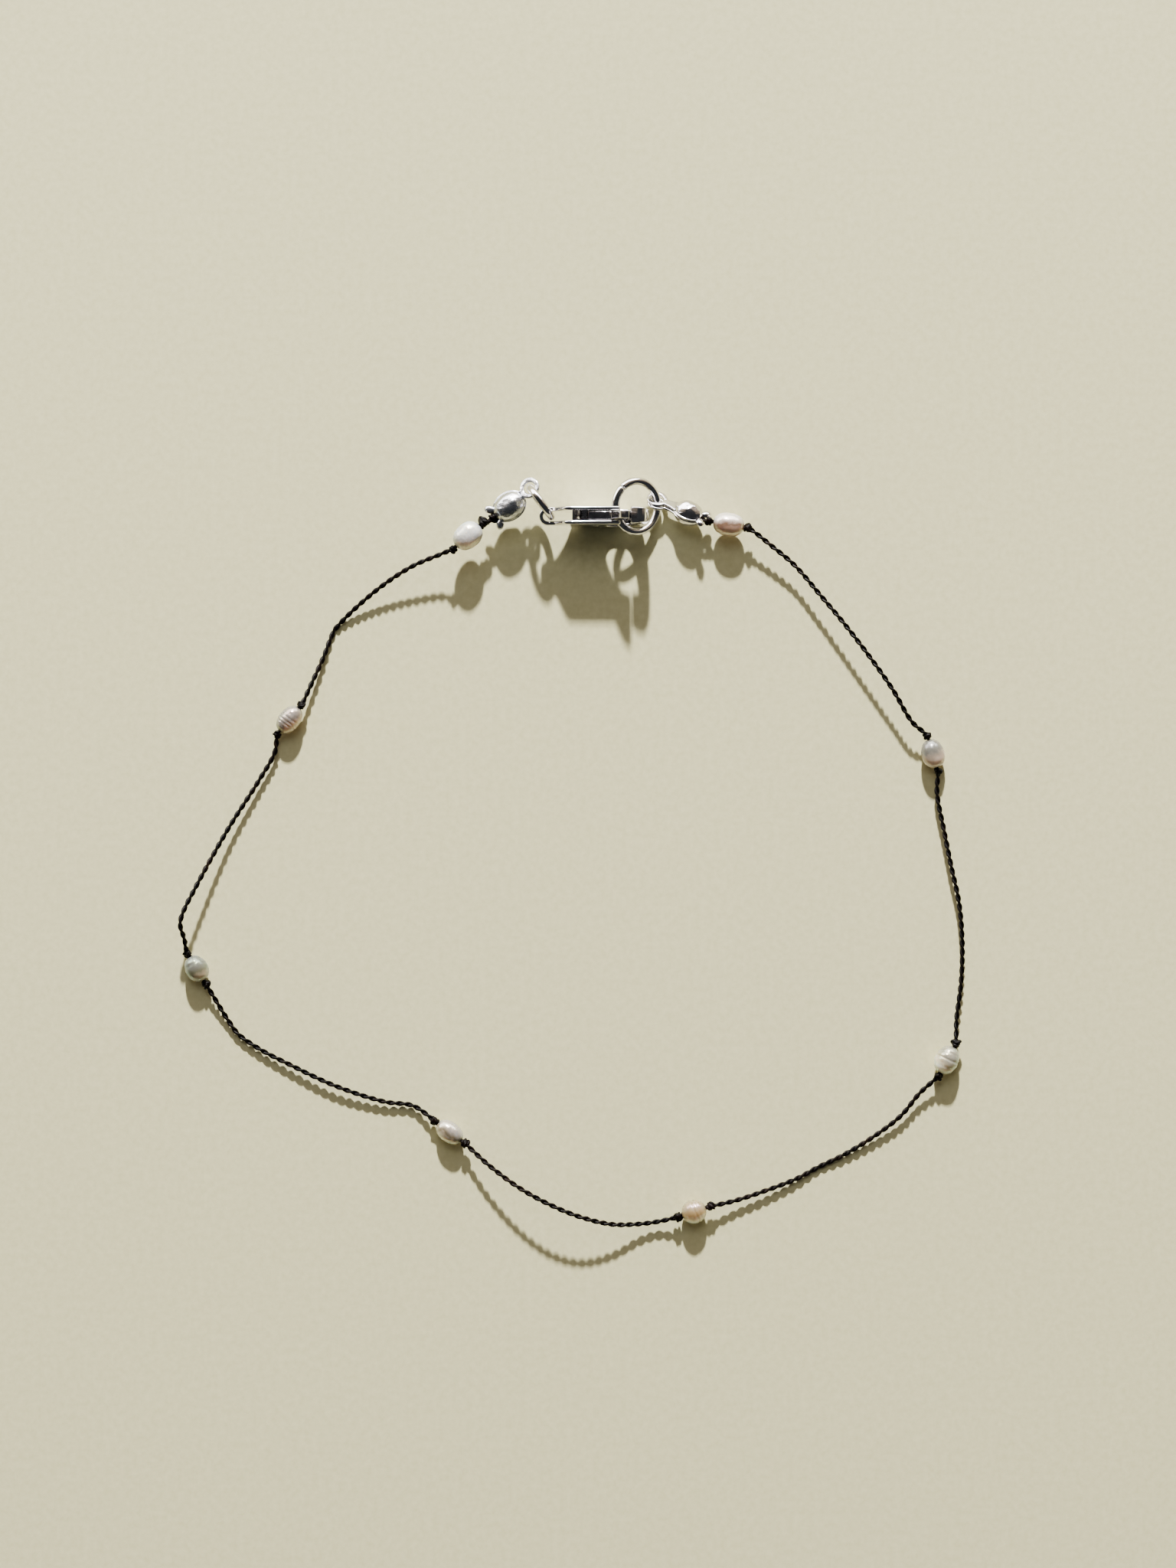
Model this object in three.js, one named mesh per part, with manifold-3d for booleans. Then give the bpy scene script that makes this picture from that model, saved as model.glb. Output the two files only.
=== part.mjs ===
// A pearl anklet: eight freshwater pearls knotted along one silk cord and closed by a lobster clasp.
// Millimetres, +Z up. It lies in a loose loop as it was put down, and z = 0 is the surface under it.
import * as THREE from 'three';
import { mergeVertices } from 'three/addons/utils/BufferGeometryUtils.js';
import Module from 'manifold-3d';

const wasm = await Module();
wasm.setup();

// Driving sizes.
const cord = { diameter: 0.48, sides: 8, step: 1.45, fewestSteps: 6 };
const knot = { length: 0.72, flatness: 0.9, hiddenWidth: 1.3 };
const drill = { diameter: 0.64, gap: 0.05 };
const clamshell = {
  wall: 0.25,
  seam: 0.12,
  hinge: 0.45,
  lip: { width: 0.1, height: 0.4 },
  ear: { length: 1.1, width: 0.64, height: 0.48, splay: 20, back: 0.97, aside: 0.31 },
  cordHole: { diameter: 0.72, depth: 1.2 },
  strap: { width: 0.8, rooted: 0.12, shortOfHole: 0.1 },
  eyelet: { outer: 2.2, inner: 1.3, thickness: 0.28 },
};
const clasp = {
  thickness: 1.86,
  channelWidth: 1.06,
  channelFloor: 0.42,
  channelStart: 3.72,
  channelEnd: { atFloor: 9.3, atTop: 9.41, top: 7.5 },
  tailWall: 0.42,
  tailSlotEnd: 3.4,
  taperStart: 8.2,
  noseStart: 10.9,
  noseTip: 11.35,
  noseWidth: 1.5,
  noseCorner: 0.6,
  leverThickness: 0.9,
  pivot: { u: 5.8, v: 2.95 },
  pinDiameter: 0.76,
  pinClearance: 0.05,
};
// A jump ring's split is where its two cut ends nearly meet, splitAt degrees round from its x.
const smallRing = { outer: 4.45, wire: 0.7, sides: 8, steps: 28, splitWidth: 2, splitAt: 180 };
const largeRing = { outer: 6.0, wire: 0.75, sides: 8, steps: 36, splitWidth: 2, splitAt: 142, tilt: 33 };

// How many flats each round form has.
const facets = {
  pearl: { around: 14, rings: 9 },
  knot: { around: 8, along: 6 },
  cup: { around: 14, along: 9 },
  cupInside: { around: 10, along: 7 },
  ear: { around: 8, along: 6 },
  lip: 8,
  eyelet: 8,
  cordHole: 12,
  claspPlan: 10,
  rod: 14,
};

// Each pearl: its middle, the way the cord runs through it (heading and climb in degrees),
// its size along and across the drill hole, and how wide the knots before and after it are.
const pearlColumns = ['x', 'y', 'z', 'heading', 'climb', 'length', 'width', 'before', 'after'];
const pearls = [
  [-10.88, 32.84, 3.1, 222, 2, 3.26, 2.77, 1.2, 0.95],
  [-29.51, 13.82, 1.3, 230, -4, 3.16, 2.36, 0.9, 0.9],
  [-39.18, -12.12, 1.24, -59, -6, 2.88, 2.45, 0.9, 1.0],
  [-12.82, -29.18, 1.16, -36, 5, 3.06, 2.24, 0.95, 1.0],
  [12.64, -37.46, 1.3, 18, 0, 2.64, 2.56, 1.05, 0.95],
  [38.98, -21.63, 1.3, 62, 0, 3.04, 2.56, 0.95, 1.05],
  [37.52, 10.28, 1.35, 107, 4, 3.04, 2.48, 0.9, 0.95],
  [16.23, 34.09, 1.97, 170, 1, 3.26, 2.56, 1.0, 0.95],
].map((row) => Object.fromEntries(row.map((value, i) => [pearlColumns[i], value])));

// The cord's route between one pearl and the next, laid by hand: x, y and the height of its middle.
const cordRoutes = [
  [[-6.9, 35.68, 2.76], [-8.0, 34.88, 2.49], [-8.6, 34.48, 2.6]],
  [
    [-13.46, 31.05, 2.7], [-16.64, 29.74, 2.2], [-19.82, 27.74, 1.5], [-22.98, 25.13, 0.7],
    [-24.66, 23.45, 0.3], [-24.94, 23.08, 0.26], [-26.06, 20.18, 0.7], [-27.38, 17.19, 1.2],
  ],
  [
    [-31.04, 10.46, 0.9], [-32.8, 7.32, 0.9], [-35.81, 2.55, 1.4], [-38.94, -3.22, 2.6],
    [-40.48, -6.44, 3.3], [-40.68, -7.48, 3.3], [-40.33, -8.98, 2.5],
  ],
  [
    [-37.06, -15.74, 0.75], [-35.86, -17.71, 0.5], [-34.88, -19.02, 0.45], [-32.7, -20.55, 0.5],
    [-29.63, -22.13, 0.65], [-24.6, -24.45, 0.8], [-19.58, -26.06, 0.6], [-16.62, -26.5, 0.5],
  ],
  [
    [-8.64, -32.6, 2.2], [-5.44, -34.88, 2.9], [-2.24, -36.59, 3.2], [0.96, -37.89, 2.9],
    [4.16, -38.7, 2.0], [7.04, -38.74, 1.1], [8.96, -38.52, 0.9],
  ],
  [
    [16.96, -36.34, 0.9], [20.16, -35.31, 0.7], [23.36, -34.1, 0.45], [25.68, -32.88, 0.27],
    [28.16, -31.68, 0.4], [31.36, -29.72, 0.6], [34.24, -27.48, 0.85], [36.16, -25.14, 1.05],
  ],
  [
    [40.02, -17.36, 1.0], [40.49, -13.69, 0.9], [40.62, -9.5, 1.0], [40.28, -5.31, 1.1],
    [39.5, -1.64, 1.1], [38.71, 2.29, 1.0], [37.98, 6.22, 1.05],
  ],
  [
    [35.29, 13.58, 2.0], [33.26, 16.92, 2.4], [30.83, 20.37, 2.4], [28.19, 23.82, 2.2],
    [25.76, 26.75, 1.9], [23.13, 29.83, 1.7], [20.9, 31.72, 1.75],
  ],
  [[13.8, 34.5, 2.18], [13.44, 34.65, 2.25], [12.4, 35.11, 1.99]],
];

// Where the metal pieces lie. A bead tip points from its ball towards its eyelets.
const worldUp = new THREE.Vector3(0, 0, 1);
const leftTip = {
  centre: new THREE.Vector3(-6.54, 35.94, 2.85),
  along: new THREE.Vector3(0.8, 0.58, 0.2),
  up: worldUp,
  length: 3.68,
  width: 2.8,
  eyelets: [{ along: 2.86, across: 0.24, up: 0.29 }, { along: 2.84, across: 0.28, up: -0.11 }],
};
const rightTip = {
  centre: new THREE.Vector3(12.04, 35.27, 1.9),
  along: new THREE.Vector3(-0.89, 0.39, -0.23),
  up: new THREE.Vector3(0.18, 0.76, 0.62),
  length: 3.2,
  width: 2.6,
  eyelets: [{ along: 3.5, across: 0.11, up: -0.3 }, { along: 3.68, across: -0.09, up: 0.08 }],
};
const smallRingCentre = new THREE.Vector3(-3.31, 36.26, 3.8);
const smallRingAcross = new THREE.Vector3(0.593, -0.805, 0);
const largeRingCentre = new THREE.Vector3(6.64, 35.96, 2.35);
const largeRingAxis = new THREE.Vector3(0.13, 0.99, 0).normalize();
const claspOrigin = new THREE.Vector3(-3.44, 34.8, 0);

// The clasp stands on its spine. Its own u runs from the tail loop to the nose and v is the height.
// Side view of the folded clasp: the loop at the tail, the flat top of the cheeks, the claw opening,
// the nose whose tip turns back over it, and the spine that it stands on.
const bodyOutline = [
  [0, 3.16], [1.5, 3.12], [2.6, 2.1], [3.5, 0.7], [4.1, 0.15], [4.6, 0], [8.6, 0], [9.6, 0.25],
  [10.4, 0.9], [10.95, 1.9], [11.25, 3.4], [11.35, 5.2], [11.2, 6.2], [10.9, 6.75], [10.4, 6.95],
  [9.42, 6.5], [9.42, 5.1], [10.1, 5.2], [10.15, 4.3], [9.75, 2.3], [9.2, 1.5], [7.4, 1.4],
  [6.8, 1.9], [6.75, 2.7], [6.95, 3.4], [7.5, 4.2], [8.2, 4.7], [8.4, 5.1], [8.4, 5.9], [8.2, 6.1],
  [2.9, 6.1], [2.5, 5.75], [1.7, 4.6], [1.4, 4.45], [0, 4.42],
];

// Side view of the lever: its shark-fin thumb tab, the front that meets the nose, and its pivot lug.
const leverOutline = [
  [5.0, 5.95], [4.9, 5.1], [4.95, 3.4], [5.1, 2.5], [5.5, 2.2], [6.1, 2.2], [6.5, 2.5], [6.75, 3.3],
  [7.35, 4.2], [8.05, 4.68], [9.3, 5.05], [9.34, 6.4], [9.3, 7.7], [9.2, 8.0], [9.0, 8.0],
  [7.9, 6.6], [7.4, 6.1], [7.1, 5.98],
];

const silver = { color: 0xc9c6c8, roughness: 0.16, metalness: 1 };
const silverDark = { color: 0xa7a3a9, roughness: 0.2, metalness: 1 };
const nacre = { color: 0xe3d8cf, roughness: 0.24, metalness: 0.1 };
const silk = { color: 0x4a2e24, roughness: 0.55, metalness: 0 };

// Closed mesh to solid and back.
function solidFrom(geometry) {
  const bare = geometry.clone();
  bare.deleteAttribute('normal');
  bare.deleteAttribute('uv');
  const merged = mergeVertices(bare, 1e-4);
  return new wasm.Manifold(new wasm.Mesh({
    numProp: 3,
    vertProperties: merged.attributes.position.array,
    triVerts: new Uint32Array(merged.index.array),
  }));
}

function geometryFrom(solid) {
  const mesh = solid.getMesh();
  const geometry = new THREE.BufferGeometry();
  geometry.setAttribute('position', new THREE.BufferAttribute(mesh.vertProperties, 3));
  geometry.setIndex(new THREE.BufferAttribute(mesh.triVerts, 1));
  return geometry;
}

// An ellipsoid with the given half sizes along x, y and z.
function ellipsoid(halfX, halfY, halfZ, { around, along }) {
  return new THREE.SphereGeometry(1, around, along).rotateZ(Math.PI / 2).scale(halfX, halfY, halfZ);
}

// A polygon of [u, v] corners as a plate standing in the x-z plane, its thickness centred on y = 0.
function standingPlate(corners, thickness) {
  const shape = new THREE.Shape(corners.map(([u, v]) => new THREE.Vector2(u, v)));
  const plate = new THREE.ExtrudeGeometry(shape, { depth: thickness, bevelEnabled: false });
  return plate.translate(0, 0, -thickness / 2).rotateX(Math.PI / 2);
}

// A flat shape in the x-y plane carried straight up from one height to another.
function raised(shape, low, high, curveSegments) {
  const options = { depth: high - low, bevelEnabled: false, curveSegments };
  return new THREE.ExtrudeGeometry(shape, options).translate(0, 0, low);
}

// A round rod across the clasp at its pivot.
function crossRod(radius, length) {
  const { u, v } = clasp.pivot;
  return new THREE.CylinderGeometry(radius, radius, length, facets.rod).translate(u, 0, v);
}

// A regular polygon section for wires and cords.
function roundSection(diameter, sides) {
  const corners = Array.from({ length: sides }, (_, i) => {
    const angle = (2 * Math.PI * i) / sides;
    return new THREE.Vector2(Math.cos(angle), Math.sin(angle)).multiplyScalar(diameter / 2);
  });
  return new THREE.Shape(corners);
}

function tubeAlong(path, diameter, sides, steps) {
  return new THREE.ExtrudeGeometry(roundSection(diameter, sides), { steps, extrudePath: path });
}

// A jump ring is a wire bent round until its two cut ends nearly meet.
class RingPath extends THREE.Curve {
  constructor({ outer, wire, splitWidth, splitAt }) {
    super();
    this.radius = (outer - wire) / 2;
    this.start = THREE.MathUtils.degToRad(splitAt + splitWidth / 2);
    this.sweep = THREE.MathUtils.degToRad(360 - splitWidth);
  }

  getPoint(t, target = new THREE.Vector3()) {
    const angle = this.start + t * this.sweep;
    return target.set(this.radius * Math.cos(angle), this.radius * Math.sin(angle), 0);
  }
}

function ringGeometry(ring) {
  return tubeAlong(new RingPath(ring), ring.wire, ring.sides, ring.steps);
}

const anklet = new THREE.Group();

function addPiece(name, geometry, finish, matrix = new THREE.Matrix4()) {
  const mesh = new THREE.Mesh(geometry, new THREE.MeshStandardMaterial(finish));
  mesh.name = name;
  mesh.applyMatrix4(matrix);
  anklet.add(mesh);
}

// A frame whose x runs along one direction and whose z leans as near as it can to another.
function frameAt(centre, along, up) {
  const x = along.clone().normalize();
  const z = up.clone().addScaledVector(x, -up.dot(x)).normalize();
  const y = new THREE.Vector3().crossVectors(z, x);
  return new THREE.Matrix4().makeBasis(x, y, z).setPosition(centre);
}

// The direction that a pearl is strung in.
function stringing({ heading, climb }) {
  const turn = THREE.MathUtils.degToRad(heading);
  const rise = THREE.MathUtils.degToRad(climb);
  return new THREE.Vector3(
    Math.cos(turn) * Math.cos(rise),
    Math.sin(turn) * Math.cos(rise),
    Math.sin(rise),
  );
}

// A pearl: an oval turned about its drill hole, with the wall of the hole closing the profile.
function pearlGeometry({ length, width }) {
  const { around, rings } = facets.pearl;
  const rimAngle = Math.asin(drill.diameter / width);
  const profile = Array.from({ length: rings }, (_, i) => {
    const angle = rimAngle + ((Math.PI - 2 * rimAngle) * i) / (rings - 1);
    return new THREE.Vector2((width / 2) * Math.sin(angle), (-length / 2) * Math.cos(angle));
  });
  profile.push(profile[0].clone());
  return new THREE.LatheGeometry(profile, around).rotateZ(-Math.PI / 2);
}

pearls.forEach((pearl, i) => {
  const centre = new THREE.Vector3(pearl.x, pearl.y, pearl.z);
  const matrix = frameAt(centre, stringing(pearl), worldUp);
  addPiece(`pearl_${i + 1}`, pearlGeometry(pearl), nacre, matrix);
});

// Where the cord leaves a pearl: its end in the hole, the mouth of the hole and the knot outside.
// side is 1 where the cord runs on from the pearl and -1 where it comes to it.
function pearlEnd(pearl, side) {
  const centre = new THREE.Vector3(pearl.x, pearl.y, pearl.z);
  const along = stringing(pearl).multiplyScalar(side);
  const at = (distance) => centre.clone().addScaledVector(along, distance);
  const knotReach = pearl.length / 2 + drill.gap + knot.length / 2;
  const width = side > 0 ? pearl.after : pearl.before;
  return {
    points: [at(drill.gap), at(pearl.length / 2), at(knotReach)],
    knots: [{ centre: at(knotReach), along, width }],
  };
}

// The knot that a clamshell hides holds each end of the cord.
function hiddenKnot(centre, next) {
  return { centre, along: next.clone().sub(centre), width: knot.hiddenWidth };
}

function knotSolid({ centre, along, width }) {
  const height = width * knot.flatness;
  const lump = ellipsoid(knot.length / 2, width / 2, height / 2, facets.knot);
  return solidFrom(lump.applyMatrix4(frameAt(centre, along, worldUp)));
}

// One span of the cord, from the middle of one pearl to the middle of the next.
cordRoutes.forEach((route, i) => {
  const laid = route.map(([x, y, z]) => new THREE.Vector3(x, y, z));
  const last = laid.length - 1;
  const before = i > 0
    ? pearlEnd(pearls[i - 1], 1)
    : { points: [], knots: [hiddenKnot(laid[0], laid[1])] };
  const after = i < pearls.length
    ? pearlEnd(pearls[i], -1)
    : { points: [], knots: [hiddenKnot(laid[last], laid[last - 1])] };
  const points = [...before.points, ...laid, ...after.points.reverse()];
  const path = new THREE.CatmullRomCurve3(points, false, 'centripetal');
  const steps = Math.max(cord.fewestSteps, Math.round(path.getLength() / cord.step));
  const tube = solidFrom(tubeAlong(path, cord.diameter, cord.sides, steps));
  const knots = [...before.knots, ...after.knots].map(knotSolid);
  const span = knots.reduce((body, lump) => body.add(lump), tube);
  addPiece(`cord_${i + 1}`, geometryFrom(span), silk);
});

// A clamshell bead tip, its x from the ball towards its eyelets and its z across the seam.
// Two cups hinge at the end where the cord enters, and each carries one flat eyelet on a strap.
function clamshellGeometry({ length, width, eyelets }) {
  const { wall, seam, hinge, lip, ear, cordHole } = clamshell;
  const half = length / 2;
  const inside = width / 2 - wall;
  let shell = solidFrom(ellipsoid(half, width / 2, width / 2, facets.cup));
  const lipShape = new THREE.Shape();
  lipShape.absellipse(0, 0, half + lip.width, width / 2 + lip.width, 0, 2 * Math.PI);
  shell = shell.add(solidFrom(raised(lipShape, -lip.height / 2, lip.height / 2, facets.lip)));
  for (const side of [-1, 1]) {
    const tab = ellipsoid(ear.length / 2, ear.width / 2, ear.height / 2, facets.ear)
      .rotateZ(-side * THREE.MathUtils.degToRad(ear.splay))
      .translate(-half * ear.back, side * width * ear.aside, 0);
    shell = shell.add(solidFrom(tab));
  }
  shell = shell.subtract(solidFrom(ellipsoid(half - wall, inside, inside, facets.cupInside)));
  const slit = new THREE.BoxGeometry(length, width * 1.5, seam).translate(hinge, 0, 0);
  shell = shell.subtract(solidFrom(slit));
  const holeRadius = cordHole.diameter / 2;
  const hole = new THREE.CylinderGeometry(holeRadius, holeRadius, cordHole.depth, facets.cordHole);
  shell = shell.subtract(solidFrom(hole.rotateZ(Math.PI / 2).translate(-half, 0, 0)));
  for (const eyelet of eyelets) {
    shell = shell.add(strapSolid(half, eyelet)).add(eyeletSolid(eyelet));
  }
  return geometryFrom(shell);
}

// The strap from the end of a cup to the rim of its eyelet.
function strapSolid(half, { along, across, up }) {
  const { seam, strap, eyelet } = clamshell;
  const near = half - strap.rooted;
  const reach = along - eyelet.inner / 2 - strap.shortOfHole - near;
  const start = Math.sign(up) * (seam / 2 + eyelet.thickness / 2);
  const bar = new THREE.BoxGeometry(reach, strap.width, eyelet.thickness)
    .translate(reach / 2, 0, 0)
    .rotateZ(Math.atan2(across, reach))
    .rotateY(-Math.atan2(up - start, reach));
  return solidFrom(bar.translate(near, 0, start));
}

function eyeletSolid({ along, across, up }) {
  const { outer, inner, thickness } = clamshell.eyelet;
  const plate = new THREE.Shape().absarc(0, 0, outer / 2, 0, 2 * Math.PI);
  plate.holes.push(new THREE.Path().absarc(0, 0, inner / 2, 0, 2 * Math.PI));
  const washer = raised(plate, -thickness / 2, thickness / 2, facets.eyelet);
  return solidFrom(washer.translate(along, across, up));
}

for (const [name, tip] of [['clamshell_left', leftTip], ['clamshell_right', rightTip]]) {
  addPiece(name, clamshellGeometry(tip), silver, frameAt(tip.centre, tip.along, tip.up));
}

// The small ring stands upright through the left eyelets and the clasp's tail loop.
const smallRingAxis = new THREE.Vector3().crossVectors(smallRingAcross, worldUp);
const smallRingFrame = frameAt(smallRingCentre, worldUp, smallRingAxis);
addPiece('jump_ring_small', ringGeometry(smallRing), silver, smallRingFrame);

// The large ring hangs in the claw with one side up in it and the other down by the right eyelets.
const largeRingTilt = THREE.MathUtils.degToRad(largeRing.tilt);
const downhill = new THREE.Vector3(largeRingAxis.y, -largeRingAxis.x, 0)
  .multiplyScalar(Math.cos(largeRingTilt))
  .addScaledVector(worldUp, -Math.sin(largeRingTilt));
const largeRingUp = new THREE.Vector3().crossVectors(downhill, largeRingAxis);
const largeRingFrame = frameAt(largeRingCentre, downhill, largeRingUp);
addPiece('jump_ring_large', ringGeometry(largeRing), silver, largeRingFrame);

// The clasp's body is one folded sheet. Its plan is round at the tail and tapers to the nose.
const halfThick = clasp.thickness / 2;
const halfNose = clasp.noseWidth / 2;
const cornerAt = clasp.noseTip - clasp.noseCorner;
const cornerAside = halfNose - clasp.noseCorner;
const plan = new THREE.Shape();
plan.absarc(halfThick, 0, halfThick, Math.PI / 2, 1.5 * Math.PI);
plan.lineTo(clasp.taperStart, -halfThick);
plan.lineTo(clasp.noseStart, -halfNose);
plan.absarc(cornerAt, -cornerAside, clasp.noseCorner, -Math.PI / 2, 0);
plan.absarc(cornerAt, cornerAside, clasp.noseCorner, 0, Math.PI / 2);
plan.lineTo(clasp.noseStart, halfNose);
plan.lineTo(clasp.taperStart, halfThick);

const halfChannel = clasp.channelWidth / 2;
const tailSlot = new THREE.Shape();
tailSlot.absarc(clasp.tailWall + halfChannel, 0, halfChannel, Math.PI / 2, 1.5 * Math.PI);
tailSlot.lineTo(clasp.tailSlotEnd, -halfChannel);
tailSlot.lineTo(clasp.tailSlotEnd, halfChannel);

const leverChannel = [
  [clasp.channelStart, clasp.channelFloor],
  [clasp.channelEnd.atFloor, clasp.channelFloor],
  [clasp.channelEnd.atTop, clasp.channelEnd.top],
  [clasp.channelStart, clasp.channelEnd.top],
];

const pinBore = solidFrom(crossRod(clasp.pinDiameter / 2 + clasp.pinClearance, clasp.thickness * 2));
const cutLow = -1;
const cutHigh = 8;
const claspBody = solidFrom(standingPlate(bodyOutline, clasp.thickness * 1.2))
  .intersect(solidFrom(raised(plan, cutLow, cutHigh, facets.claspPlan)))
  .subtract(solidFrom(raised(tailSlot, cutLow, cutHigh, facets.claspPlan)))
  .subtract(solidFrom(standingPlate(leverChannel, clasp.channelWidth)))
  .subtract(pinBore);
const lever = solidFrom(standingPlate(leverOutline, clasp.leverThickness)).subtract(pinBore);
const claspFrame = new THREE.Matrix4().setPosition(claspOrigin);
addPiece('clasp_body', geometryFrom(claspBody), silver, claspFrame);
addPiece('clasp_lever', geometryFrom(lever), silverDark, claspFrame);
addPiece('clasp_pin', crossRod(clasp.pinDiameter / 2, clasp.thickness), silver, claspFrame);

export default anklet;
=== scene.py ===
import math

import bpy
import mathutils
import numpy as np
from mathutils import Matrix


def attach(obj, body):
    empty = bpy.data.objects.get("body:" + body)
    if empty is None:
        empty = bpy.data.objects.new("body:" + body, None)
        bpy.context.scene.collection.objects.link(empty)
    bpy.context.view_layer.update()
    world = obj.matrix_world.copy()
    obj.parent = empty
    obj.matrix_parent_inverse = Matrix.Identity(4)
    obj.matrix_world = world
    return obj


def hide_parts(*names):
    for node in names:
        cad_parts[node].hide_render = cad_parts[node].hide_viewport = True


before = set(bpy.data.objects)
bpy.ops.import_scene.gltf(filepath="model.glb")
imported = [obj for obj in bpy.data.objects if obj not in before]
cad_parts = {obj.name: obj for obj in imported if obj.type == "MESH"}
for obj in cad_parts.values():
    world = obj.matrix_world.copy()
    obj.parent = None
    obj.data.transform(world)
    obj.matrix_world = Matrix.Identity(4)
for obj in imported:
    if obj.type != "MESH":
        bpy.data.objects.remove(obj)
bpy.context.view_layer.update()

mm = 0.001

# A pearl anklet lying in a loose loop: eight pearls on one knotted silk cord, closed by a silver clasp.
# Shapes are worked out in millimetres in the frame's own axes, and buildPiece turns them to metres.


def unit(v):
    # v divided by its length, along the last axis
    v = np.asarray(v, float)
    return v / np.linalg.norm(v, axis=-1, keepdims=True)


def axesAt(centre, along, up=(0, 0, 1)):
    # rows: centre, X along one direction, Y across it, and Z as near as it gets to up, up - (up . X) X
    x = unit(along)
    z = unit(np.asarray(up, float) - np.dot(up, x) * x)
    return np.array([centre, x, np.cross(z, x), z])


def place(points, axes):
    # centre + x X + y Y + z Z
    return axes[0] + points @ axes[1:]


def roundAngles(count):
    # even steps round a circle: 2 pi i / count
    return np.arange(count) / count * 2 * math.pi


def squarish(wave, power):
    # sign(w) |w|^power, which flattens the sine and cosine of a circle towards a rounded square
    return np.sign(wave) * np.abs(wave) ** power


def runningLength(path):
    # how far along a path each point is: the sum of |p(i + 1) - p(i)| up to it
    return np.append(0, np.cumsum(np.linalg.norm(np.diff(path, axis=0), axis=1)))


def gridShell(points, joined=False, rowValues=None):
    # a grid of points (rows, columns, 3) in quads, closed round its columns; its ends are joined to each
    # other or capped by one flat face each. A corner's uv is its row's value and its column's share.
    rows, cols = points.shape[:2]
    r, c = np.meshgrid(np.arange(rows if joined else rows - 1), np.arange(cols), indexing="ij")
    cornerR = np.stack([r, r, r + 1, r + 1], -1).reshape(-1, 4)
    cornerC = np.stack([c, c + 1, c + 1, c], -1).reshape(-1, 4)
    quads = (cornerR % rows) * cols + cornerC % cols
    rowValues = np.arange(rows + 1) if rowValues is None else np.append(rowValues, rowValues[-1])
    uv = np.stack([rowValues[cornerR], cornerC / cols], -1)
    firstRow = np.arange(cols)
    caps = np.zeros((0, 3), int) if joined else np.stack([firstRow[::-1], firstRow + (rows - 1) * cols])
    return {"points": points.reshape(-1, 3), "quads": quads, "uv": uv, "caps": caps}


def moved(shell, axes):
    # the shell with its points placed in other axes
    return {**shell, "points": place(shell["points"], axes)}


def outward(shell):
    # turns a closed shell right way out, where the sum over its faces of (centre - middle) . normal is
    # positive: a quad's normal is the cross product of its diagonals, a cap's the sum round its rim
    middle = shell["points"].mean(0)
    quad, cap = shell["points"][shell["quads"]], shell["points"][shell["caps"]]
    normal = np.cross(quad[:, 2] - quad[:, 0], quad[:, 3] - quad[:, 1])
    centre = cap.mean(1)
    spokes = cap - centre[:, None]
    capNormal = np.cross(spokes, np.roll(spokes, -1, 1)).sum(1)
    if np.sum((quad.mean(1) - middle) * normal) + np.sum((centre - middle) * capNormal) > 0:
        return shell
    return {**shell, **{key: shell[key][:, ::-1] for key in ("quads", "uv", "caps")}}


def buildPiece(name, shells, material, node, body="anklet", attributes=None):
    # joins closed shells into one smooth mesh in metres that stands for a node of the frame: a shell's
    # indices move up by the number of points before it, and all quads come before all caps
    shells = [outward(shell) for shell in shells]
    starts = np.cumsum([0] + [len(shell["points"]) for shell in shells[:-1]])
    points = np.concatenate([shell["points"] for shell in shells]) * mm
    quads = np.concatenate([shell["quads"] + start for shell, start in zip(shells, starts)])
    caps = [shell["caps"] + start for shell, start in zip(shells, starts)]
    loops = np.concatenate([quads.reshape(-1)] + [cap.reshape(-1) for cap in caps])
    sizes = np.concatenate([np.full(len(quads), 4)] + [np.full(len(cap), cap.shape[1]) for cap in caps])
    uv = np.zeros((len(loops), 2))
    uv[: quads.size] = np.concatenate([shell["uv"].reshape(-1, 2) for shell in shells])
    mesh = bpy.data.meshes.new(name)
    mesh.vertices.add(len(points))
    mesh.vertices.foreach_set("co", points.reshape(-1))
    mesh.loops.add(len(loops))
    mesh.loops.foreach_set("vertex_index", loops.astype(np.int32))
    mesh.polygons.add(len(sizes))
    mesh.polygons.foreach_set("loop_start", (np.cumsum(sizes) - sizes).astype(np.int32))
    mesh.polygons.foreach_set("use_smooth", np.ones(len(sizes), bool))
    layer = mesh.uv_layers.new(name="UVMap")
    mesh.update(calc_edges=True)
    layer.data.foreach_set("uv", uv.reshape(-1))
    for key, values in (attributes or {}).items():
        mesh.attributes.new(key, "FLOAT_VECTOR", "POINT").data.foreach_set("vector", values.reshape(-1))
    mesh.validate()
    mesh.materials.append(material)
    piece = bpy.data.objects.new(name, mesh)
    bpy.context.scene.collection.objects.link(piece)
    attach(piece, body)
    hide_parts(node)
    return piece


def tubeShell(path, reach, sides, sideways, joined=False):
    # a section carried along a path: p(s) + r(s, a) (cos a N + sin a B), N square to the path and to
    # sideways and B square to both, with the length along the path as its row values
    if joined:
        tangent = unit(np.roll(path, -1, 0) - np.roll(path, 1, 0))
    else:
        tangent = unit(np.gradient(path, axis=0))
    across = unit(np.cross(tangent, sideways))
    lift = np.cross(across, tangent)
    a = roundAngles(sides)[:, None]
    section = np.cos(a) * across[:, None] + np.sin(a) * lift[:, None]
    return gridShell(path[:, None] + reach[..., None] * section, joined, runningLength(path))


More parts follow.
